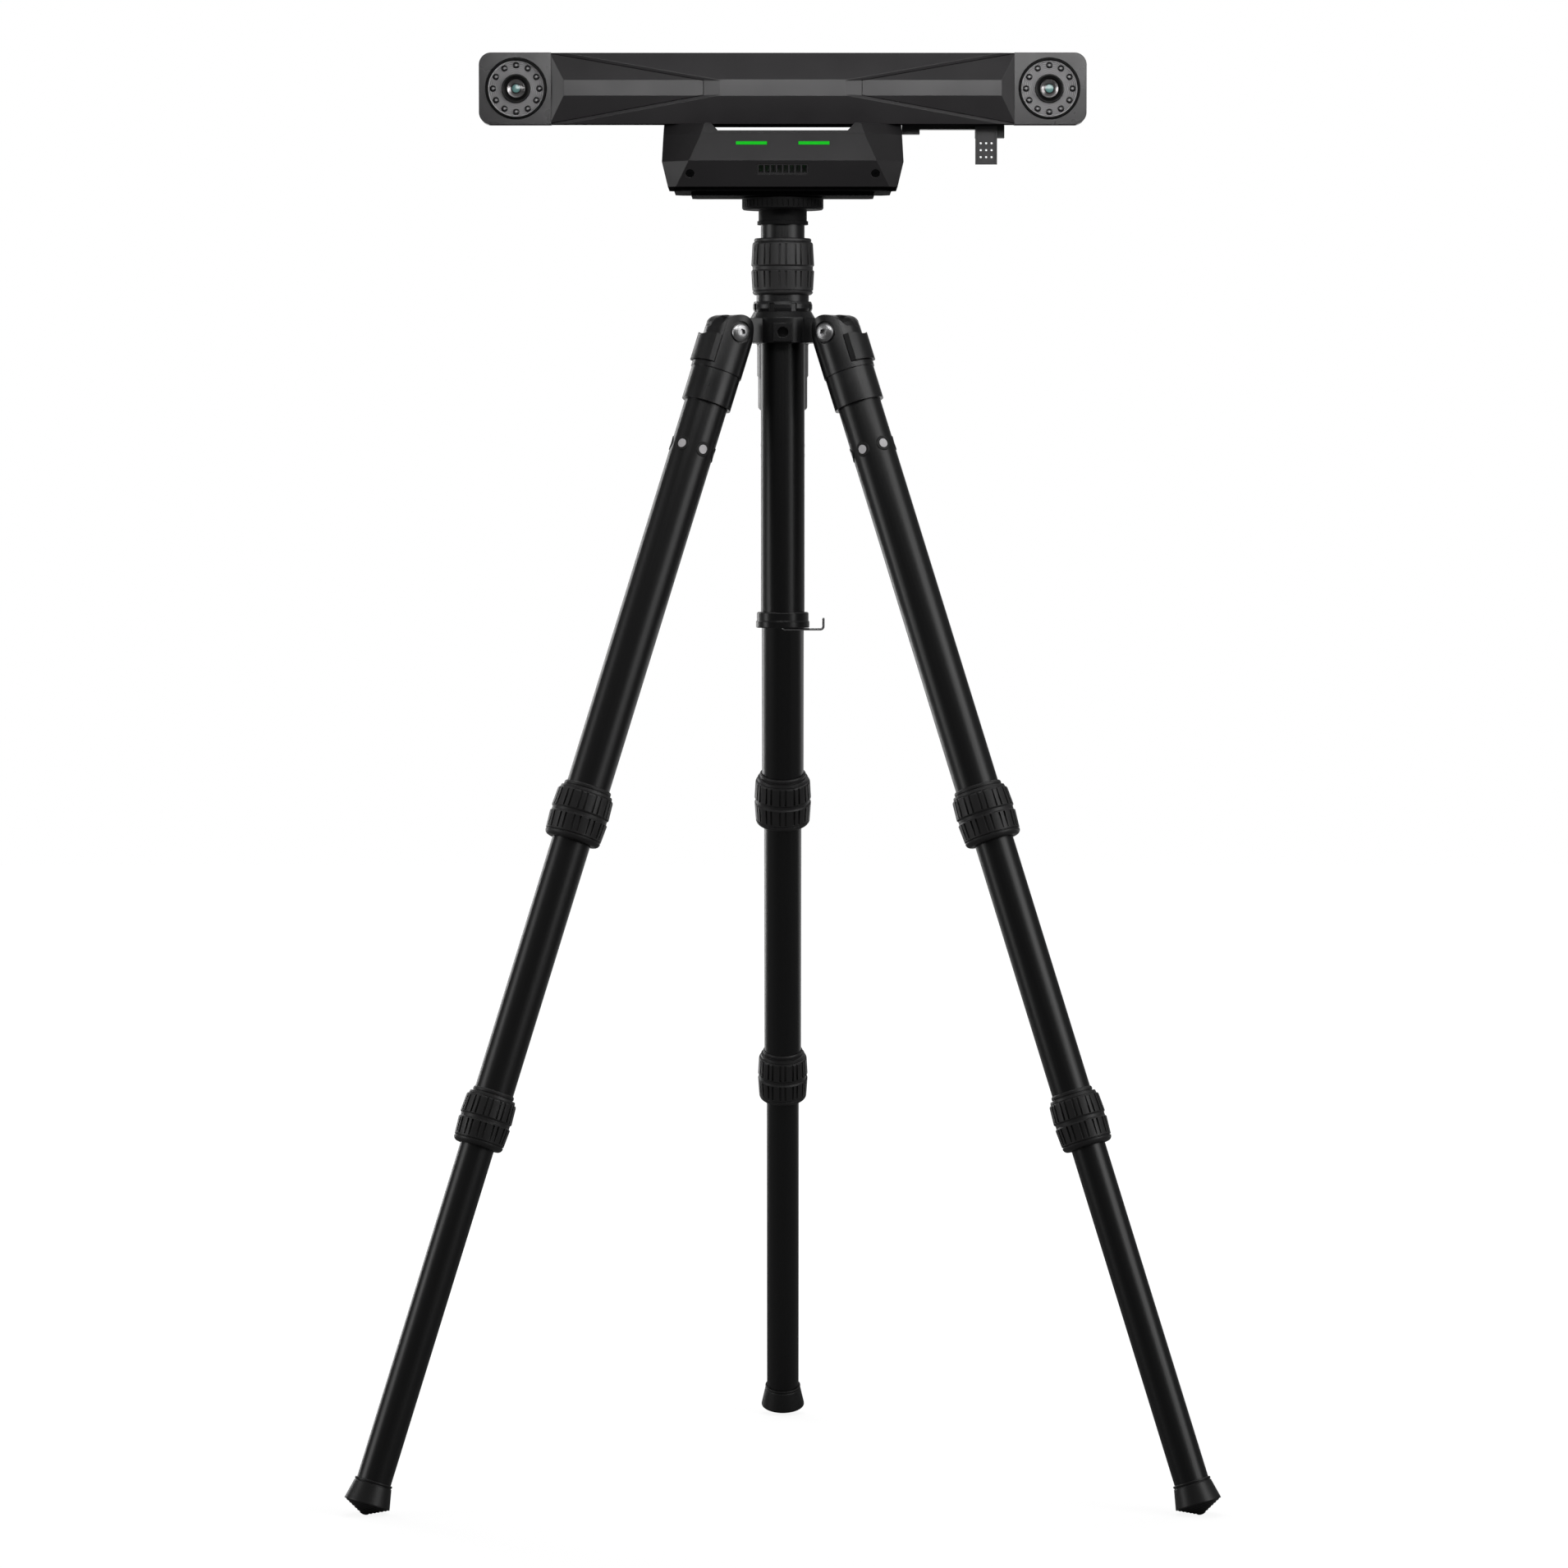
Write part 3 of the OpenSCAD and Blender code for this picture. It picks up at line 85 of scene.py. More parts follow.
def between(tree, factor, low, high, start=0.3, end=0.7):
    """A number from low to high, as the factor goes from start to end: by default, the grain's usual range."""
    span = tree.nodes.new("ShaderNodeMapRange")
    for socket, value in (("From Min", start), ("From Max", end), ("To Min", low), ("To Max", high)):
        span.inputs[socket].default_value = value
    tree.links.new(factor, span.inputs["Value"])
    return span.outputs["Result"]


def blend_colours(tree, factor, first, second):
    """A colour between two colours or colour sockets."""
    mix = tree.nodes.new("ShaderNodeMix")
    mix.data_type = "RGBA"
    tree.links.new(factor, mix.inputs["Factor"])
    for socket, colour in ((mix.inputs[6], first), (mix.inputs[7], second)):
        if isinstance(colour, bpy.types.NodeSocket):
            tree.links.new(colour, socket)
        else:
            socket.default_value = (*colour, 1)
    return mix.outputs[2]


def raise_surface(tree, shader, height, distance, edge=0.0):
    """Bump from a height of 0 to 1. An edge radius also softens the sharp corners of the moulding."""
    bump = tree.nodes.new("ShaderNodeBump")
    bump.inputs["Distance"].default_value = distance
    tree.links.new(height, bump.inputs["Height"])
    if edge:
        corner = tree.nodes.new("ShaderNodeBevel")
        corner.samples = 4
        corner.inputs["Radius"].default_value = edge
        tree.links.new(corner.outputs["Normal"], bump.inputs["Normal"])
    tree.links.new(bump.outputs["Normal"], shader.inputs["Normal"])


def coated(name, colour, roughness, lump, depth, edge, cloud=0.03, spread=0.25, shine=0.5):
    """A coat with a fine grain all over and faint clouds in its colour and gloss."""
    material, tree, shader, place = new_finish(name, colour, roughness)
    shader.inputs["Specular IOR Level"].default_value = shine
    clouds = grain(tree, place, cloud)
    thin = [value * (1 - spread) for value in colour]
    thick = [value * (1 + spread) for value in colour]
    tree.links.new(blend_colours(tree, clouds, thin, thick), shader.inputs["Base Color"])
    gloss = between(tree, clouds, roughness - SMOOTHER, roughness + DULLER)
    tree.links.new(gloss, shader.inputs["Roughness"])
    raise_surface(tree, shader, grain(tree, place, lump), depth, edge)
    return material


def dress(material, *nodes):
    """Gives CAD pieces a finish."""
    for node in nodes:
        slots = solids[node].data.materials
        slots.clear()
        slots.append(material)


powder_coat = coated("powder_coat", (0.008, 0.008, 0.0085), roughness=0.31, lump=0.0006, depth=0.00002,
                     edge=0.0007)
dress(powder_coat, *CASTINGS)

# Angle stops
# The curved tab in the recess of each yoke, which slides out against a spring.
# It is moulded in glass-filled nylon.
stop_nylon = coated("stop_nylon", (0.006, 0.006, 0.0065), roughness=0.40, lump=0.0004, depth=0.00002,
                    edge=0.0006)
dress(stop_nylon, *[f"{leg}_leg_angle_stop" for leg in LEGS])

# Leg tubes and column
# Drawn aluminium tubes, anodised black.
# The drawing leaves fine lines along each tube, under a smooth satin coat.
TUBE_BLACK = (0.0032, 0.0032, 0.0035)
TUBE_PALER = 1.6
TUBE_CLOUD = 0.05
TUBE_ROUGHNESS = 0.35
LINE_WIDTH = 0.0009
LINE_STRETCH = 120
LINE_DEPTH = 0.000010
LINE_GLOSS = 0.04


def leg_frame(leg):
    """A leg's own frame: the hinge at its origin, +X outward, and -Z down the leg."""
    joints = {joint["name"]: joint for joint in frame["record"]["behaviour"]["joints"]}
    fold = joints[f"{leg}_leg_fold"]
    up = -Vector(joints[f"{leg}_middle_extend"]["axis"])
    across = -Vector(fold["axis"])
    axes = Matrix((across.cross(up), across, up)).transposed()
    return Matrix.Translation(fold["pos_m"]) @ axes.to_4x4()


def drawn_tube(name, axis_frame):
    """Anodising over lines that run along the tube's own axis."""
    material, tree, shader, place = new_finish(name, TUBE_BLACK, TUBE_ROUGHNESS)
    along = tree.nodes.new("ShaderNodeMapping")
    along.vector_type = "TEXTURE"
    along.inputs["Location"].default_value = axis_frame.to_translation()
    along.inputs["Rotation"].default_value = axis_frame.to_euler()
    along.inputs["Scale"].default_value = (1, 1, LINE_STRETCH)
    tree.links.new(place, along.inputs["Vector"])
    lines = grain(tree, along.outputs["Vector"], LINE_WIDTH)
    gloss = between(tree, lines, TUBE_ROUGHNESS - LINE_GLOSS, TUBE_ROUGHNESS + LINE_GLOSS)
    tree.links.new(gloss, shader.inputs["Roughness"])
    paler = [value * TUBE_PALER for value in TUBE_BLACK]
    colour = blend_colours(tree, grain(tree, place, TUBE_CLOUD), TUBE_BLACK, paler)
    tree.links.new(colour, shader.inputs["Base Color"])
    raise_surface(tree, shader, lines, LINE_DEPTH)
    return material


for leg in LEGS:
    tube_coat = drawn_tube(f"{leg}_tube_anodised", leg_frame(leg))
    dress(tube_coat, *[f"{leg}_leg_{part}_tube" for part in ("upper", "middle", "lower")])
dress(drawn_tube("column_anodised", Matrix.Identity(4)), "column_tube")

# Marker dots and their rings
# Round stick-on targets below each yoke: a pale reflective disc of tiny glass beads in a black printed ring.
BEAD_SIZE = 0.00035
BEAD_HEIGHT = 0.00004
MARKER_COUNT = 6
TUBE_RADIUS = 0.016
RING_INNER = 0.00333
RING_OUTER = 0.0055
RING_HEIGHT = 0.0005
RING_STEPS = 40

film, tree, shader, place = new_finish("reflective_film", (0.66, 0.645, 0.66), roughness=0.5)
beads = tree.nodes.new("ShaderNodeTexVoronoi")
beads.inputs["Scale"].default_value = 1 / BEAD_SIZE
tree.links.new(place, beads.inputs["Vector"])
bead_grey = blend_colours(tree, beads.outputs["Distance"], (0.76, 0.745, 0.76), (0.56, 0.545, 0.56))
tree.links.new(bead_grey, shader.inputs["Base Color"])
raise_surface(tree, shader, beads.outputs["Distance"], -BEAD_HEIGHT)
dress(film, *[f"{leg}_leg_markers" for leg in LEGS])

ring_ink = coated("marker_ring_ink", (0.0025, 0.0025, 0.0025), roughness=0.6, lump=0.0003, depth=0.00001,
                  edge=0)


def new_piece(name, verts, faces, finish, body):
    """A mesh of the scene's own, with its faces turned outward, on the body that carries it."""
    mesh = bpy.data.meshes.new(name)
    mesh.from_pydata(verts, [], faces)
    shape = bmesh.new()
    shape.from_mesh(mesh)
    bmesh.ops.recalc_face_normals(shape, faces=shape.faces)
    shape.to_mesh(mesh)
    shape.free()
    mesh.materials.append(finish)
    piece = bpy.data.objects.new(name, mesh)
    bpy.context.scene.collection.objects.link(piece)
    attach(piece, body)
    return piece


def on_tube(leg_place, dot_height, turn, across, down, height):
    """A point on the upper tube, from a distance around it and a distance down it."""
    angle = turn + across / TUBE_RADIUS
    radius = TUBE_RADIUS + height
    return leg_place @ Vector((radius * math.cos(angle), radius * math.sin(angle), dot_height - down))


ring_section = (
    (RING_INNER, 0),
    (RING_INNER, RING_HEIGHT),
    (RING_OUTER - RING_HEIGHT, RING_HEIGHT),
    (RING_OUTER, 0),
)
for leg in LEGS:
    own = leg_frame(leg)
    dots_low, dots_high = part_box(f"{leg}_leg_markers")
    dot_height = (own.inverted() @ ((dots_low + dots_high) / 2)).z
    verts, faces = [], []
    for dot in range(MARKER_COUNT):
        turn = 2 * math.pi * (dot + 0.5) / MARKER_COUNT
        start = len(verts)
        for step in range(RING_STEPS):
            a = 2 * math.pi * step / RING_STEPS
            for r, height in ring_section:
                verts.append(on_tube(own, dot_height, turn, r * math.cos(a), r * math.sin(a), height))
        for step in range(RING_STEPS):
            here, there = start + 4 * step, start + 4 * ((step + 1) % RING_STEPS)
            faces += [(here + k, here + (k + 1) % 4, there + (k + 1) % 4, there + k) for k in range(4)]
    new_piece(f"{leg}_marker_rings", verts, faces, ring_ink, f"{leg}_leg")

# Twist-lock collars
# Rubber grips moulded over a threaded sleeve, one at each end of the leg tubes and one on the hub's neck.
# Grip rubber is matt and slightly dusty.
COLLARS = [f"{leg}_leg_{part}_collar" for leg in LEGS for part in ("upper", "lower")] + ["column_collar"]
grip_rubber = coated("grip_rubber", (0.019, 0.0185, 0.019), roughness=0.46, lump=0.0005, depth=0.00003,
                     edge=0.0005)
dress(grip_rubber, *COLLARS)

# Feet
# Solid rubber feet, pushed over the lower tubes and a little dusty on the sole.
foot_rubber = coated("foot_rubber", (0.007, 0.007, 0.0072), roughness=0.42, lump=0.0006, depth=0.00004,
                     edge=0.0008)
dress(foot_rubber, *[f"{leg}_leg_foot" for leg in LEGS])

# Hinge bolts, weight hook and platform screw
# Plated steel: the button heads of the leg hinges and the bent wire hook under the column.
# The plating has a faint haze of turning marks. The platform's screw is turned steel, left bare.
chrome, tree, shader, place = new_finish("bright_chrome", (0.40, 0.40, 0.405), roughness=0.33)
shader.inputs["Metallic"].default_value = 1
haze = grain(tree, place, size=0.0012)
tree.links.new(between(tree, haze, low=0.28, high=0.38), shader.inputs["Roughness"])
raise_surface(tree, shader, haze, distance=0.00001, edge=0.0004)
dress(chrome, "hinge_bolts", "weight_hook")

steel, tree, shader, place = new_finish("turned_steel", (0.42, 0.42, 0.43), roughness=0.32)
shader.inputs["Metallic"].default_value = 1
marks = grain(tree, place, size=0.0004)
tree.links.new(between(tree, marks, low=0.26, high=0.40), shader.inputs["Roughness"])
dress(steel, "platform_screw")

# Platform disc, mount plate and bottom cover
# The turned disc on the column's upper end and the black plate screwed to it, both dull anodised.
# The moulded cover above them closes the base from below. All three are left matt.
disc_coat = coated("disc_anodised", (0.005, 0.005, 0.0052), roughness=0.6, lump=0.0004, depth=0.00002,
                   edge=0.0004, shine=0.12)
dress(disc_coat, "platform_disc")
plate_coat = coated("plate_anodised", (0.003, 0.003, 0.0032), roughness=0.8, lump=0.0004, depth=0.00002,
                    edge=0.0003, shine=0.02)
dress(plate_coat, "mount_plate")
cover_nylon = coated("cover_nylon", (0.0035, 0.0035, 0.0037), roughness=0.8, lump=0.0005, depth=0.00003,
                     edge=0.0003, shine=0.02)
dress(cover_nylon, "base_cover")

# Base and bar shells
# Injection-moulded housing parts with a fine spark-eroded texture, sprayed charcoal in a satin lacquer.
# The undersides, where the parts lie in the spraying jig, stay matt.
MATT_BELOW, GLOSSY_ABOVE = -0.98, -0.9


def lacquered(name, colour, edge, roughness=0.34, shine=0.5):
    """Satin lacquer that loses its gloss on faces that look straight down."""
    material = coated(name, colour, roughness, lump=0.00045, depth=0.00001, edge=edge, spread=0.1,
                      shine=shine)
    tree = material.node_tree
    facing = tree.nodes.new("ShaderNodeSeparateXYZ")
    tree.links.new(tree.nodes.new("ShaderNodeNewGeometry").outputs["True Normal"], facing.inputs[0])
    gloss = between(tree, facing.outputs["Z"], 0, shine, MATT_BELOW, GLOSSY_ABOVE)
    tree.links.new(gloss, tree.nodes["Principled BSDF"].inputs["Specular IOR Level"])
    return material


base_lacquer = lacquered("base_lacquer", (0.019, 0.018, 0.019), edge=0.0007, shine=0.32)
dress(base_lacquer, "base_front_shell", "base_rear_shell")
bar_lacquer = lacquered("bar_lacquer", (0.027, 0.0255, 0.027), edge=0.0007)
dress(bar_lacquer, "bar_centre_shell", "bar_rear_cover")

# Wing panels and end blocks
# Separate mouldings in the same lacquer.
# The panels are let into the bar on each side of its middle, and the blocks at its ends carry the eyes.
wing_lacquer = lacquered("wing_lacquer", (0.027, 0.0255, 0.027), edge=0.0006)
dress(wing_lacquer, "left_wing", "right_wing")
block_lacquer = lacquered("block_lacquer", (0.030, 0.0285, 0.030), edge=0.0006, roughness=0.28)
dress(block_lacquer, "left_end_block", "right_end_block")

# Light bars
# Clear diffusers pushed into the front shell and lit green from behind, a little unevenly.
glow, tree, shader, place = new_finish("green_diffuser", (0.002, 0.06, 0.004), roughness=0.4)
shader.inputs["Specular IOR Level"].default_value = 0.1
shader.inputs["Emission Strength"].default_value = 1
spots = grain(tree, place, size=0.004)
light_green = blend_colours(tree, spots, (0.002, 0.40, 0.008), (0.004, 0.52, 0.011))
tree.links.new(light_green, shader.inputs["Emission Color"])
dress(glow, "base_lights")

# Vent grille
# A black nylon grille, moulded as a frame with upright bars and pressed into the front shell's lower face.
# It lies just below the face, and stands for the source's grille.
GRILLE_SIZE = (0.037, 0.008)
GRILLE_RIM = 0.001
GRILLE_BAR = 0.0011
GRILLE_SLOTS = 8
GRILLE_SINK = 0.0005
GRILLE_DEPTH = 0.0024
FACES_FRONT, FACES_DOWN = -0.5, -0.2


def lower_face(node):
    """The frame of a piece's seat on the front shell's lower face: X across, Y up the face, Z out of it."""
    shell = solids["base_front_shell"].data
    front = [side for side in shell.polygons if side.normal.y < FACES_FRONT]
    lower = [side for side in front if side.normal.z < FACES_DOWN]
    face = max(lower, key=lambda side: side.area)
    across = Vector((1, 0, 0))
    axes = Matrix((across, face.normal.cross(across), face.normal)).transposed()
    heights = [(axes.transposed() @ vertex.co).y for vertex in solids[node].data.vertices]
    level = (axes.transposed() @ face.center).z
    return Matrix.Translation(axes @ Vector((0, (min(heights) + max(heights)) / 2, level))) @ axes.to_4x4()


nylon = coated("vent_nylon", (0.03, 0.029, 0.03), roughness=0.5, lump=0.0004, depth=0.00003, edge=0)
width, height = GRILLE_SIZE
opening = width - 2 * GRILLE_RIM
pitch = (opening + GRILLE_BAR) / GRILLE_SLOTS
columns = [-width / 2]
for slot in range(GRILLE_SLOTS):
    columns += [slot * pitch - opening / 2, (slot + 1) * pitch - GRILLE_BAR - opening / 2]
columns.append(width / 2)
rows = (-height / 2, GRILLE_RIM - height / 2, height / 2 - GRILLE_RIM, height / 2)
levels = (-GRILLE_SINK, -GRILLE_SINK - GRILLE_DEPTH)
seat = lower_face("base_vent")
verts = [seat @ Vector((x, y, z)) for z in levels for y in rows for x in columns]
across = len(columns)
layer = across * len(rows)
filled = {(i, j) for i in range(across - 1) for j in range(len(rows) - 1) if j != 1 or i % 2 == 0}
faces = []
for i, j in sorted(filled):
    corners = [j * across + i, j * across + i + 1, (j + 1) * across + i + 1, (j + 1) * across + i]
    faces += [corners, [corner + layer for corner in corners]]
    beside = ((i, j - 1), (i + 1, j), (i, j + 1), (i - 1, j))
    for side, neighbour in enumerate(beside):
        if neighbour not in filled:
            first, second = corners[side], corners[(side + 1) % 4]
            faces.append([first, second, second + layer, first + layer])
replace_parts(new_piece("vent_grille", verts, faces, nylon, "head"), "base_vent")

# Front screws
# Two black-oxide socket screws, sunk in holes at the ends of the front shell's lower face.
# They stand for the source's screws.
SCREW_X = 0.0677
SCREW_STEPS = 48
HEAD_RADIUS, HEAD_TOP, HEAD_SEAT = 0.0029, 0.0008, 0.0022
HEAD_CHAMFER = 0.0002
SOCKET_RADIUS, SOCKET_FLOOR = 0.0013, 0.0016
SHANK_RADIUS, SHANK_END = 0.00145, 0.0070

oxide, tree, shader, place = new_finish("black_oxide", (0.02, 0.02, 0.021), roughness=0.35)
shader.inputs["Metallic"].default_value = 1
marks = grain(tree, place, size=0.0005)
tree.links.new(between(tree, marks, low=0.28, high=0.45), shader.inputs["Roughness"])


def hexagon(radius, angle):
    """Distance from the middle of a hexagon to its side, at an angle."""
    return radius * math.cos(math.pi / 6) / math.cos(angle % (math.pi / 3) - math.pi / 6)


# Radius, depth below the face, and whether the ring is six-sided
profile = (
    (SHANK_RADIUS, SHANK_END, False),
    (SHANK_RADIUS, HEAD_SEAT, False),
    (HEAD_RADIUS, HEAD_SEAT, False),
    (HEAD_RADIUS, HEAD_TOP + HEAD_CHAMFER, False),
    (HEAD_RADIUS - HEAD_CHAMFER, HEAD_TOP, False),
    (SOCKET_RADIUS, HEAD_TOP, True),
    (SOCKET_RADIUS, SOCKET_FLOOR, True),
)
seat = lower_face("base_screws")
verts, faces = [], []
for x in (-SCREW_X, SCREW_X):
    start = len(verts)
    for radius, depth, six_sided in profile:
        for step in range(SCREW_STEPS):
            a = 2 * math.pi * step / SCREW_STEPS
            r = hexagon(radius, a) if six_sided else radius
            verts.append(seat @ Vector((x + r * math.cos(a), r * math.sin(a), -depth)))
    for ring in range(len(profile) - 1):
        first = start + ring * SCREW_STEPS
        for step in range(SCREW_STEPS):
            here, there = first + step, first + (step + 1) % SCREW_STEPS
            faces.append((here, there, there + SCREW_STEPS, here + SCREW_STEPS))
    faces.append(tuple(range(start, start + SCREW_STEPS)))
    faces.append(tuple(range(len(verts) - SCREW_STEPS, len(verts))))
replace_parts(new_piece("front_screws", verts, faces, oxide, "head"), "base_screws")

# Side bracket and tab
# A flat arm under the right half of the bar, and the perforated tab that hangs from it.
# Both are nylon mouldings.
bracket_nylon = coated("bracket_nylon", (0.008, 0.008, 0.0085), roughness=0.45, lump=0.0004, depth=0.00003,
                       edge=0.0005)
dress(bracket_nylon, "side_bracket")
tab_nylon = coated("tab_nylon", (0.034, 0.033, 0.035), roughness=0.45, lump=0.0004, depth=0.00003,
                   edge=0.0005)
dress(tab_nylon, "bracket_tab")

# Boards, heat sink and beam
# The pieces inside: two circuit boards under black solder mask, with faint rows of copper below it,
# the control board's finned heat sink, and the milled beam behind the eyes.
COPPER_SCALE = 90
board, tree, shader, place = new_finish("solder_mask", (0.008, 0.010, 0.009), roughness=0.45)
copper = tree.nodes.new("ShaderNodeTexBrick")
copper.inputs["Scale"].default_value = COPPER_SCALE
copper.inputs["Color1"].default_value = (0.006, 0.008, 0.007, 1)
copper.inputs["Color2"].default_value = (0.009, 0.012, 0.010, 1)
copper.inputs["Mortar"].default_value = (0.022, 0.026, 0.023, 1)
tree.links.new(place, copper.inputs["Vector"])
tree.links.new(copper.outputs["Color"], shader.inputs["Base Color"])
dress(board, "base_board", "bar_board")

milled, tree, shader, place = new_finish("milled_aluminium", (0.62, 0.62, 0.63), roughness=0.35)
shader.inputs["Metallic"].default_value = 1
marks = grain(tree, place, size=0.0006)
tree.links.new(between(tree, marks, low=0.3, high=0.42), shader.inputs["Roughness"])
dress(milled, "heat_sink", "bar_beam")

# Eye bezels and lens barrels
# A deep black moulded ring around each eye, and the black anodised barrel that holds the lens.
bezel_black = coated("bezel_black", (0.0012, 0.0012, 0.0012), roughness=0.45, lump=0.002, depth=0.000004,
                     edge=0, shine=0.12)
dress(bezel_black, "lens_bezels")
barrel_coat = coated("barrel_anodised", (0.004, 0.004, 0.004), roughness=0.42, lump=0.0004, depth=0.00002,
                     edge=0.0003, shine=0.3)
dress(barrel_coat, "lens_barrels")

# Light plates
# A ring-shaped diffuser around each lens, moulded with fine circular ripples that bend around the lights.
# Its polished rim is drawn as a painted highlight: a thin pale line inside the bezel, in the same pale grey as
# the ripple crests.
RIPPLE_PITCH = 0.00105
RIPPLE_BEND = 0.0006
RIPPLE_HEIGHT = 0.0001
RIM_HIGHLIGHT_WIDTH = 0.0004
RIM_HIGHLIGHT_FADE = 1.4
LIGHT_COUNT = 12
PLATE_GREY = (0.075, 0.073, 0.076)
# Pale grey of the ripple crests and of the painted highlight on the rim
CREST_AND_HIGHLIGHT_GREY = (0.52, 0.51, 0.52)


def number(tree, operation, *values):
    """The result of one piece of arithmetic on sockets and numbers."""
    node = tree.nodes.new("ShaderNodeMath")
    node.operation = operation
    for socket, value in zip(node.inputs, values):
        if isinstance(value, bpy.types.NodeSocket):
            tree.links.new(value, socket)
        else:
            socket.default_value = value
    return node.outputs[0]


def span_of(tree, first, second):
    """The length of a line from its reach in two directions."""
    first_squared = number(tree, "MULTIPLY", first, first)
    second_squared = number(tree, "MULTIPLY", second, second)
    return number(tree, "SQRT", number(tree, "ADD", first_squared, second_squared))


def eye_polar(tree, place):
    """Distance from the nearer eye's axis and angle around it. The eyes share a material, folded at x = 0."""
    glass_low, glass_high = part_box("lens_glasses")
    lens_radius = (glass_high.z - glass_low.z) / 2
    axis = tree.nodes.new("ShaderNodeSeparateXYZ")
    tree.links.new(place, axis.inputs[0])
    x = number(tree, "SUBTRACT", number(tree, "ABSOLUTE", axis.outputs["X"]), glass_high.x - lens_radius)
    z = number(tree, "SUBTRACT", axis.outputs["Z"], (glass_low.z + glass_high.z) / 2)
    return span_of(tree, x, z), number(tree, "ARCTAN2", z, x)


plate, tree, shader, place = new_finish("rippled_diffuser", PLATE_GREY, roughness=0.35)
reach, angle = eye_polar(tree, place)
waves = number(tree, "COSINE", number(tree, "MULTIPLY", angle, LIGHT_COUNT))
sway = number(tree, "MULTIPLY", waves, RIPPLE_BEND)
phase = number(tree, "MULTIPLY", number(tree, "ADD", reach, sway), 2 * math.pi / RIPPLE_PITCH)
ripple = between(tree, number(tree, "SINE", phase), 0, 1, start=0.0, end=0.9)
plate_low, plate_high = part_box("led_plates")
plate_radius = (plate_high.z - plate_low.z) / 2
# Painted highlight: a thin pale ring at the plate's edge, for its polished rim
rim_highlight = between(tree, reach, 0, 1, plate_radius - RIM_HIGHLIGHT_FADE * RIM_HIGHLIGHT_WIDTH, plate_radius - RIM_HIGHLIGHT_WIDTH)
crests_and_rim_highlight = number(tree, "MAXIMUM", ripple, rim_highlight)
tree.links.new(blend_colours(tree, crests_and_rim_highlight, PLATE_GREY, CREST_AND_HIGHLIGHT_GREY), shader.inputs["Base Color"])
raise_surface(tree, shader, crests_and_rim_highlight, RIPPLE_HEIGHT)
dress(plate, "led_plates")

# Infrared lights
# Dark resin domes set in the plate. A pale chip shows at the middle of each one.
DOME_RADIUS = 0.0024
CHIP_RADIUS = 0.0008
CHIP_INNER, CHIP_OUTER = 0.6 * CHIP_RADIUS, 1.5 * CHIP_RADIUS
RESIN_BLACK = (0.012, 0.012, 0.013)
CHIP_GREY = (0.28, 0.275, 0.28)

resin, tree, shader, place = new_finish("dark_resin", (0.02, 0.019, 0.021), roughness=0.15)
reach, angle = eye_polar(tree, place)
ring_low, ring_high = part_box("led_beads")
ring_radius = (ring_high.z - ring_low.z) / 2 - DOME_RADIUS
sector = 2 * math.pi / LIGHT_COUNT
folded = number(tree, "FLOORED_MODULO", number(tree, "ADD", angle, sector / 2), sector)
turned = number(tree, "SUBTRACT", folded, sector / 2)
out = number(tree, "SUBTRACT", number(tree, "MULTIPLY", reach, number(tree, "COSINE", turned)), ring_radius)
side = number(tree, "MULTIPLY", reach, number(tree, "SINE", turned))
chip = between(tree, span_of(tree, out, side), 1, 0, CHIP_INNER, CHIP_OUTER)
tree.links.new(blend_colours(tree, chip, RESIN_BLACK, CHIP_GREY), shader.inputs["Base Color"])
dress(resin, "led_beads")

# Lens glasses
# Coated front elements over a turned metal cone, which narrows to a pupil that the coating tints teal.
# The cone is part of the finish: it is tilted inward, and shines like metal under the clear coat. A dark ring
# of painted shadow lies between the pupil and the cone.
PUPIL = 0.42
CONE_INNER, CONE_OUTER = 0.46, 0.88
CONE_EDGE = 0.04
CONE_DEPTH = 0.0030
# Share of the lens's radius, and the colour there
LENS_COLOURS = (
    (0.00, (0.16, 0.34, 0.32)),
    (PUPIL - 0.06, (0.10, 0.24, 0.23)),
    # Painted shadow: a dark ring from the pupil's edge to the foot of the cone
    (PUPIL, (0.01, 0.012, 0.012)),
    (CONE_INNER + 0.03, (0.02, 0.02, 0.02)),
    (CONE_INNER + 0.10, (0.26, 0.25, 0.25)),
    (CONE_OUTER - 0.06, (0.30, 0.285, 0.29)),
    (CONE_OUTER, (0.04, 0.04, 0.04)),
    (1.00, (0.006, 0.006, 0.006)),
)

lens, tree, shader, place = new_finish("coated_lens", (0.05, 0.05, 0.05), roughness=0.26)
shader.inputs["Coat Weight"].default_value = 1
shader.inputs["Coat Roughness"].default_value = 0.03
reach = eye_polar(tree, place)[0]
glass_low, glass_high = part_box("lens_glasses")
share = number(tree, "DIVIDE", reach, (glass_high.z - glass_low.z) / 2)
rings = tree.nodes.new("ShaderNodeValToRGB")
while len(rings.color_ramp.elements) < len(LENS_COLOURS):
    rings.color_ramp.elements.new(0.5)
for element, (position, colour) in zip(rings.color_ramp.elements, LENS_COLOURS):
    element.position = position
    element.color = (*colour, 1)
tree.links.new(share, rings.inputs["Fac"])
tree.links.new(rings.outputs["Color"], shader.inputs["Base Color"])
past_pupil = between(tree, share, 0, 1, CONE_INNER, CONE_INNER + CONE_EDGE)
inside_rim = between(tree, share, 1, 0, CONE_OUTER - CONE_EDGE, CONE_OUTER)
tree.links.new(number(tree, "MULTIPLY", past_pupil, inside_rim), shader.inputs["Metallic"])
raise_surface(tree, shader, between(tree, share, 0, 1, CONE_INNER, CONE_OUTER), CONE_DEPTH)
dress(lens, "lens_glasses")

# Studio
# A white floor and backdrop with a dim room in front of them, and soft boxes: a large one to the right,
# a narrow one to the left, a strip behind on the left, one overhead and two strips close to the head.
FLOOR_REACH = 8.0
FLOOR_GREY = (0.22, 0.22, 0.22)
FLOOR_WHITE = 0.89
WHITE = (1, 1, 1)


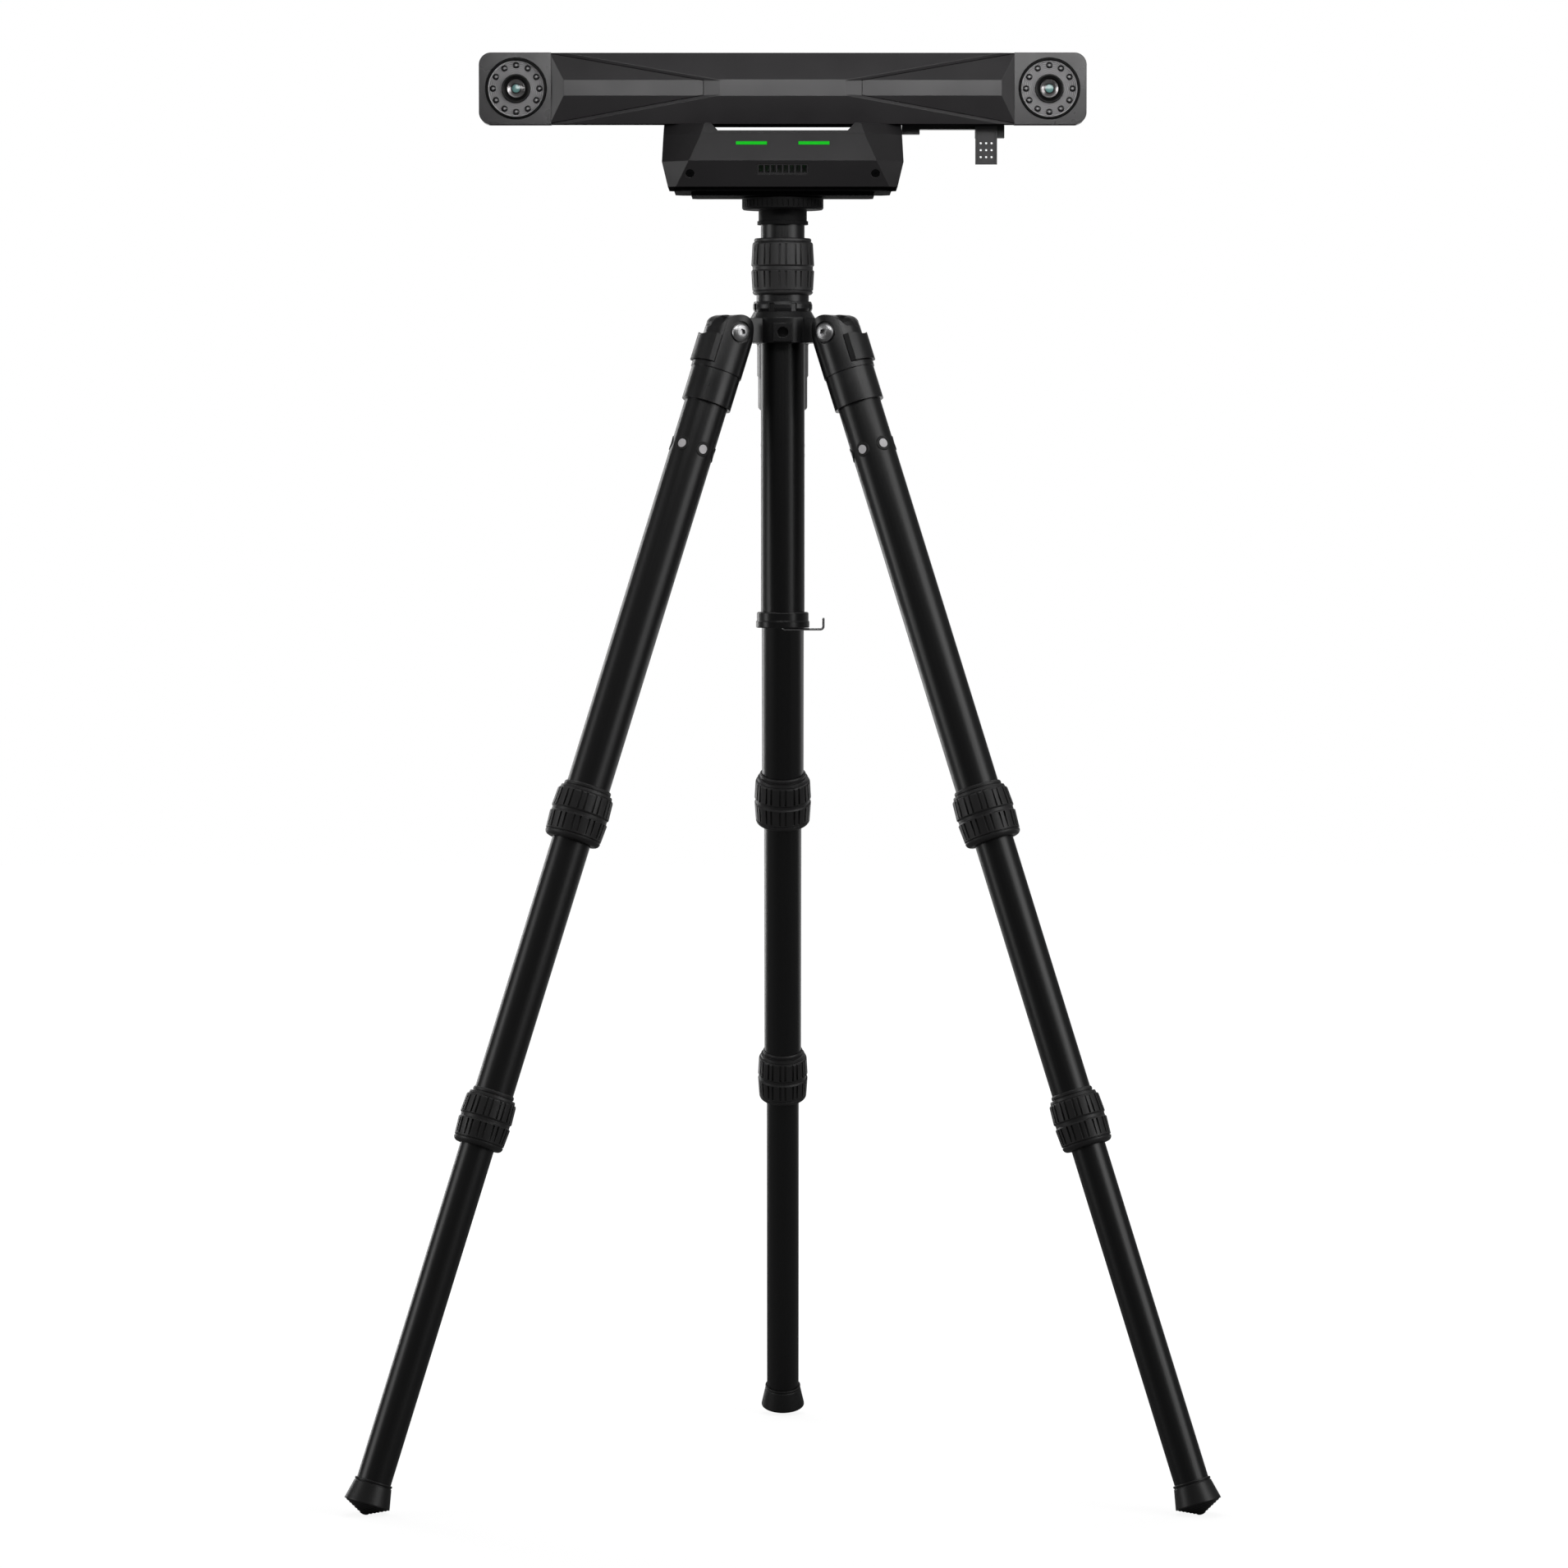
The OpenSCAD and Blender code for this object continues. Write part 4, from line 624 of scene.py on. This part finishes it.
def white_side(tree, depth, start, end):
    """How white a place is: fully for the camera and through glass, but mirrored only behind the object."""
    ray = tree.nodes.new("ShaderNodeLightPath")
    mirrored = number(tree, "MULTIPLY", ray.outputs["Is Glossy Ray"], between(tree, depth, 0, 1, start, end))
    direct = number(tree, "MAXIMUM", ray.outputs["Is Camera Ray"], ray.outputs["Is Transmission Ray"])
    return number(tree, "MAXIMUM", direct, mirrored)


mesh = bpy.data.meshes.new("floor")
signs = ((-1, -1), (1, -1), (1, 1), (-1, 1))
mesh.from_pydata([(x * FLOOR_REACH, y * FLOOR_REACH, 0) for x, y in signs], [], [(0, 1, 2, 3)])
floor = bpy.data.objects.new("floor", mesh)
bpy.context.scene.collection.objects.link(floor)
paper, tree, shader, place = new_finish("white_paper", FLOOR_GREY, roughness=0.9)
shader.inputs["Specular IOR Level"].default_value = 0
axis = tree.nodes.new("ShaderNodeSeparateXYZ")
tree.links.new(place, axis.inputs[0])
white = white_side(tree, axis.outputs["Y"], start=1.0, end=2.5)
length = tree.nodes.new("ShaderNodeVectorMath")
length.operation = "LENGTH"
tree.links.new(place, length.inputs[0])
brighter = between(tree, length.outputs["Value"], FLOOR_WHITE, 1, start=0.5, end=1.5)
own_white = number(tree, "MULTIPLY", white, brighter)
tree.links.new(own_white, shader.inputs["Emission Strength"])
shader.inputs["Emission Color"].default_value = (*WHITE, 1)
mesh.materials.append(paper)

world = bpy.data.worlds.new("studio")
bpy.context.scene.world = world
world.use_nodes = True
tree = world.node_tree
direction = tree.nodes.new("ShaderNodeSeparateXYZ")
tree.links.new(tree.nodes.new("ShaderNodeTexCoord").outputs["Generated"], direction.inputs[0])
room = between(tree, direction.outputs["Z"], low=0.04, high=0.26, start=-0.1, end=0.9)
backdrop = white_side(tree, direction.outputs["Y"], start=0.86, end=0.98)
tree.links.new(blend_colours(tree, backdrop, room, WHITE), tree.nodes["Background"].inputs["Color"])


def soft_box(name, place, target, width, height, radiance):
    """A rectangular lamp at a place, turned to a target."""
    lamp = bpy.data.lights.new(name, "AREA")
    lamp.shape = "RECTANGLE"
    lamp.size, lamp.size_y = width, height
    lamp.energy = radiance * math.pi * width * height
    box = bpy.data.objects.new(name, lamp)
    box.location = place
    box.rotation_mode = "QUATERNION"
    box.rotation_quaternion = (Vector(target) - Vector(place)).to_track_quat("-Z", "Y")
    box.visible_camera = False
    bpy.context.scene.collection.objects.link(box)


soft_box("right_box", (2.3, -1.5, 1.55), (0, 0, 0.8), width=1.7, height=2.1, radiance=2.4)
soft_box("left_box", (-2.5, -0.6, 0.6), (0, 0, 0.7), width=0.9, height=2.2, radiance=2.6)
soft_box("rim_strip", (-1.5, 2.0, 0.8), (0, 0, 0.6), width=0.5, height=2.2, radiance=4.0)
soft_box("top_box", (0, 0.9, 2.9), (0, 0, 0.9), width=1.8, height=1.2, radiance=2.5)
soft_box("band_strip", (0.05, -0.40, 1.094), (0.05, 0, 1.094), width=0.54, height=0.09, radiance=6.5)
soft_box("base_strip", (0.05, -0.50, 1.36), (0, -0.03, 0.99), width=0.6, height=0.16, radiance=0.5)

# Camera
# The photograph's viewpoint: far in front, a little below the head and pitched slightly down.
CAMERA_PLACE = (0.00094, -4.782, 0.729)
CAMERA_PITCH = 0.0443
FOCAL_LENGTH = 148.45
SENSOR_WIDTH = 36
camera_data = bpy.data.cameras.new("camera")
camera_data.lens = FOCAL_LENGTH
camera_data.sensor_width = SENSOR_WIDTH
camera = bpy.data.objects.new("camera", camera_data)
camera.location = CAMERA_PLACE
camera.rotation_euler = Euler((math.pi / 2 - CAMERA_PITCH, 0, 0))
bpy.context.scene.collection.objects.link(camera)
bpy.context.scene.camera = camera
bpy.context.scene.view_settings.view_transform = "Standard"
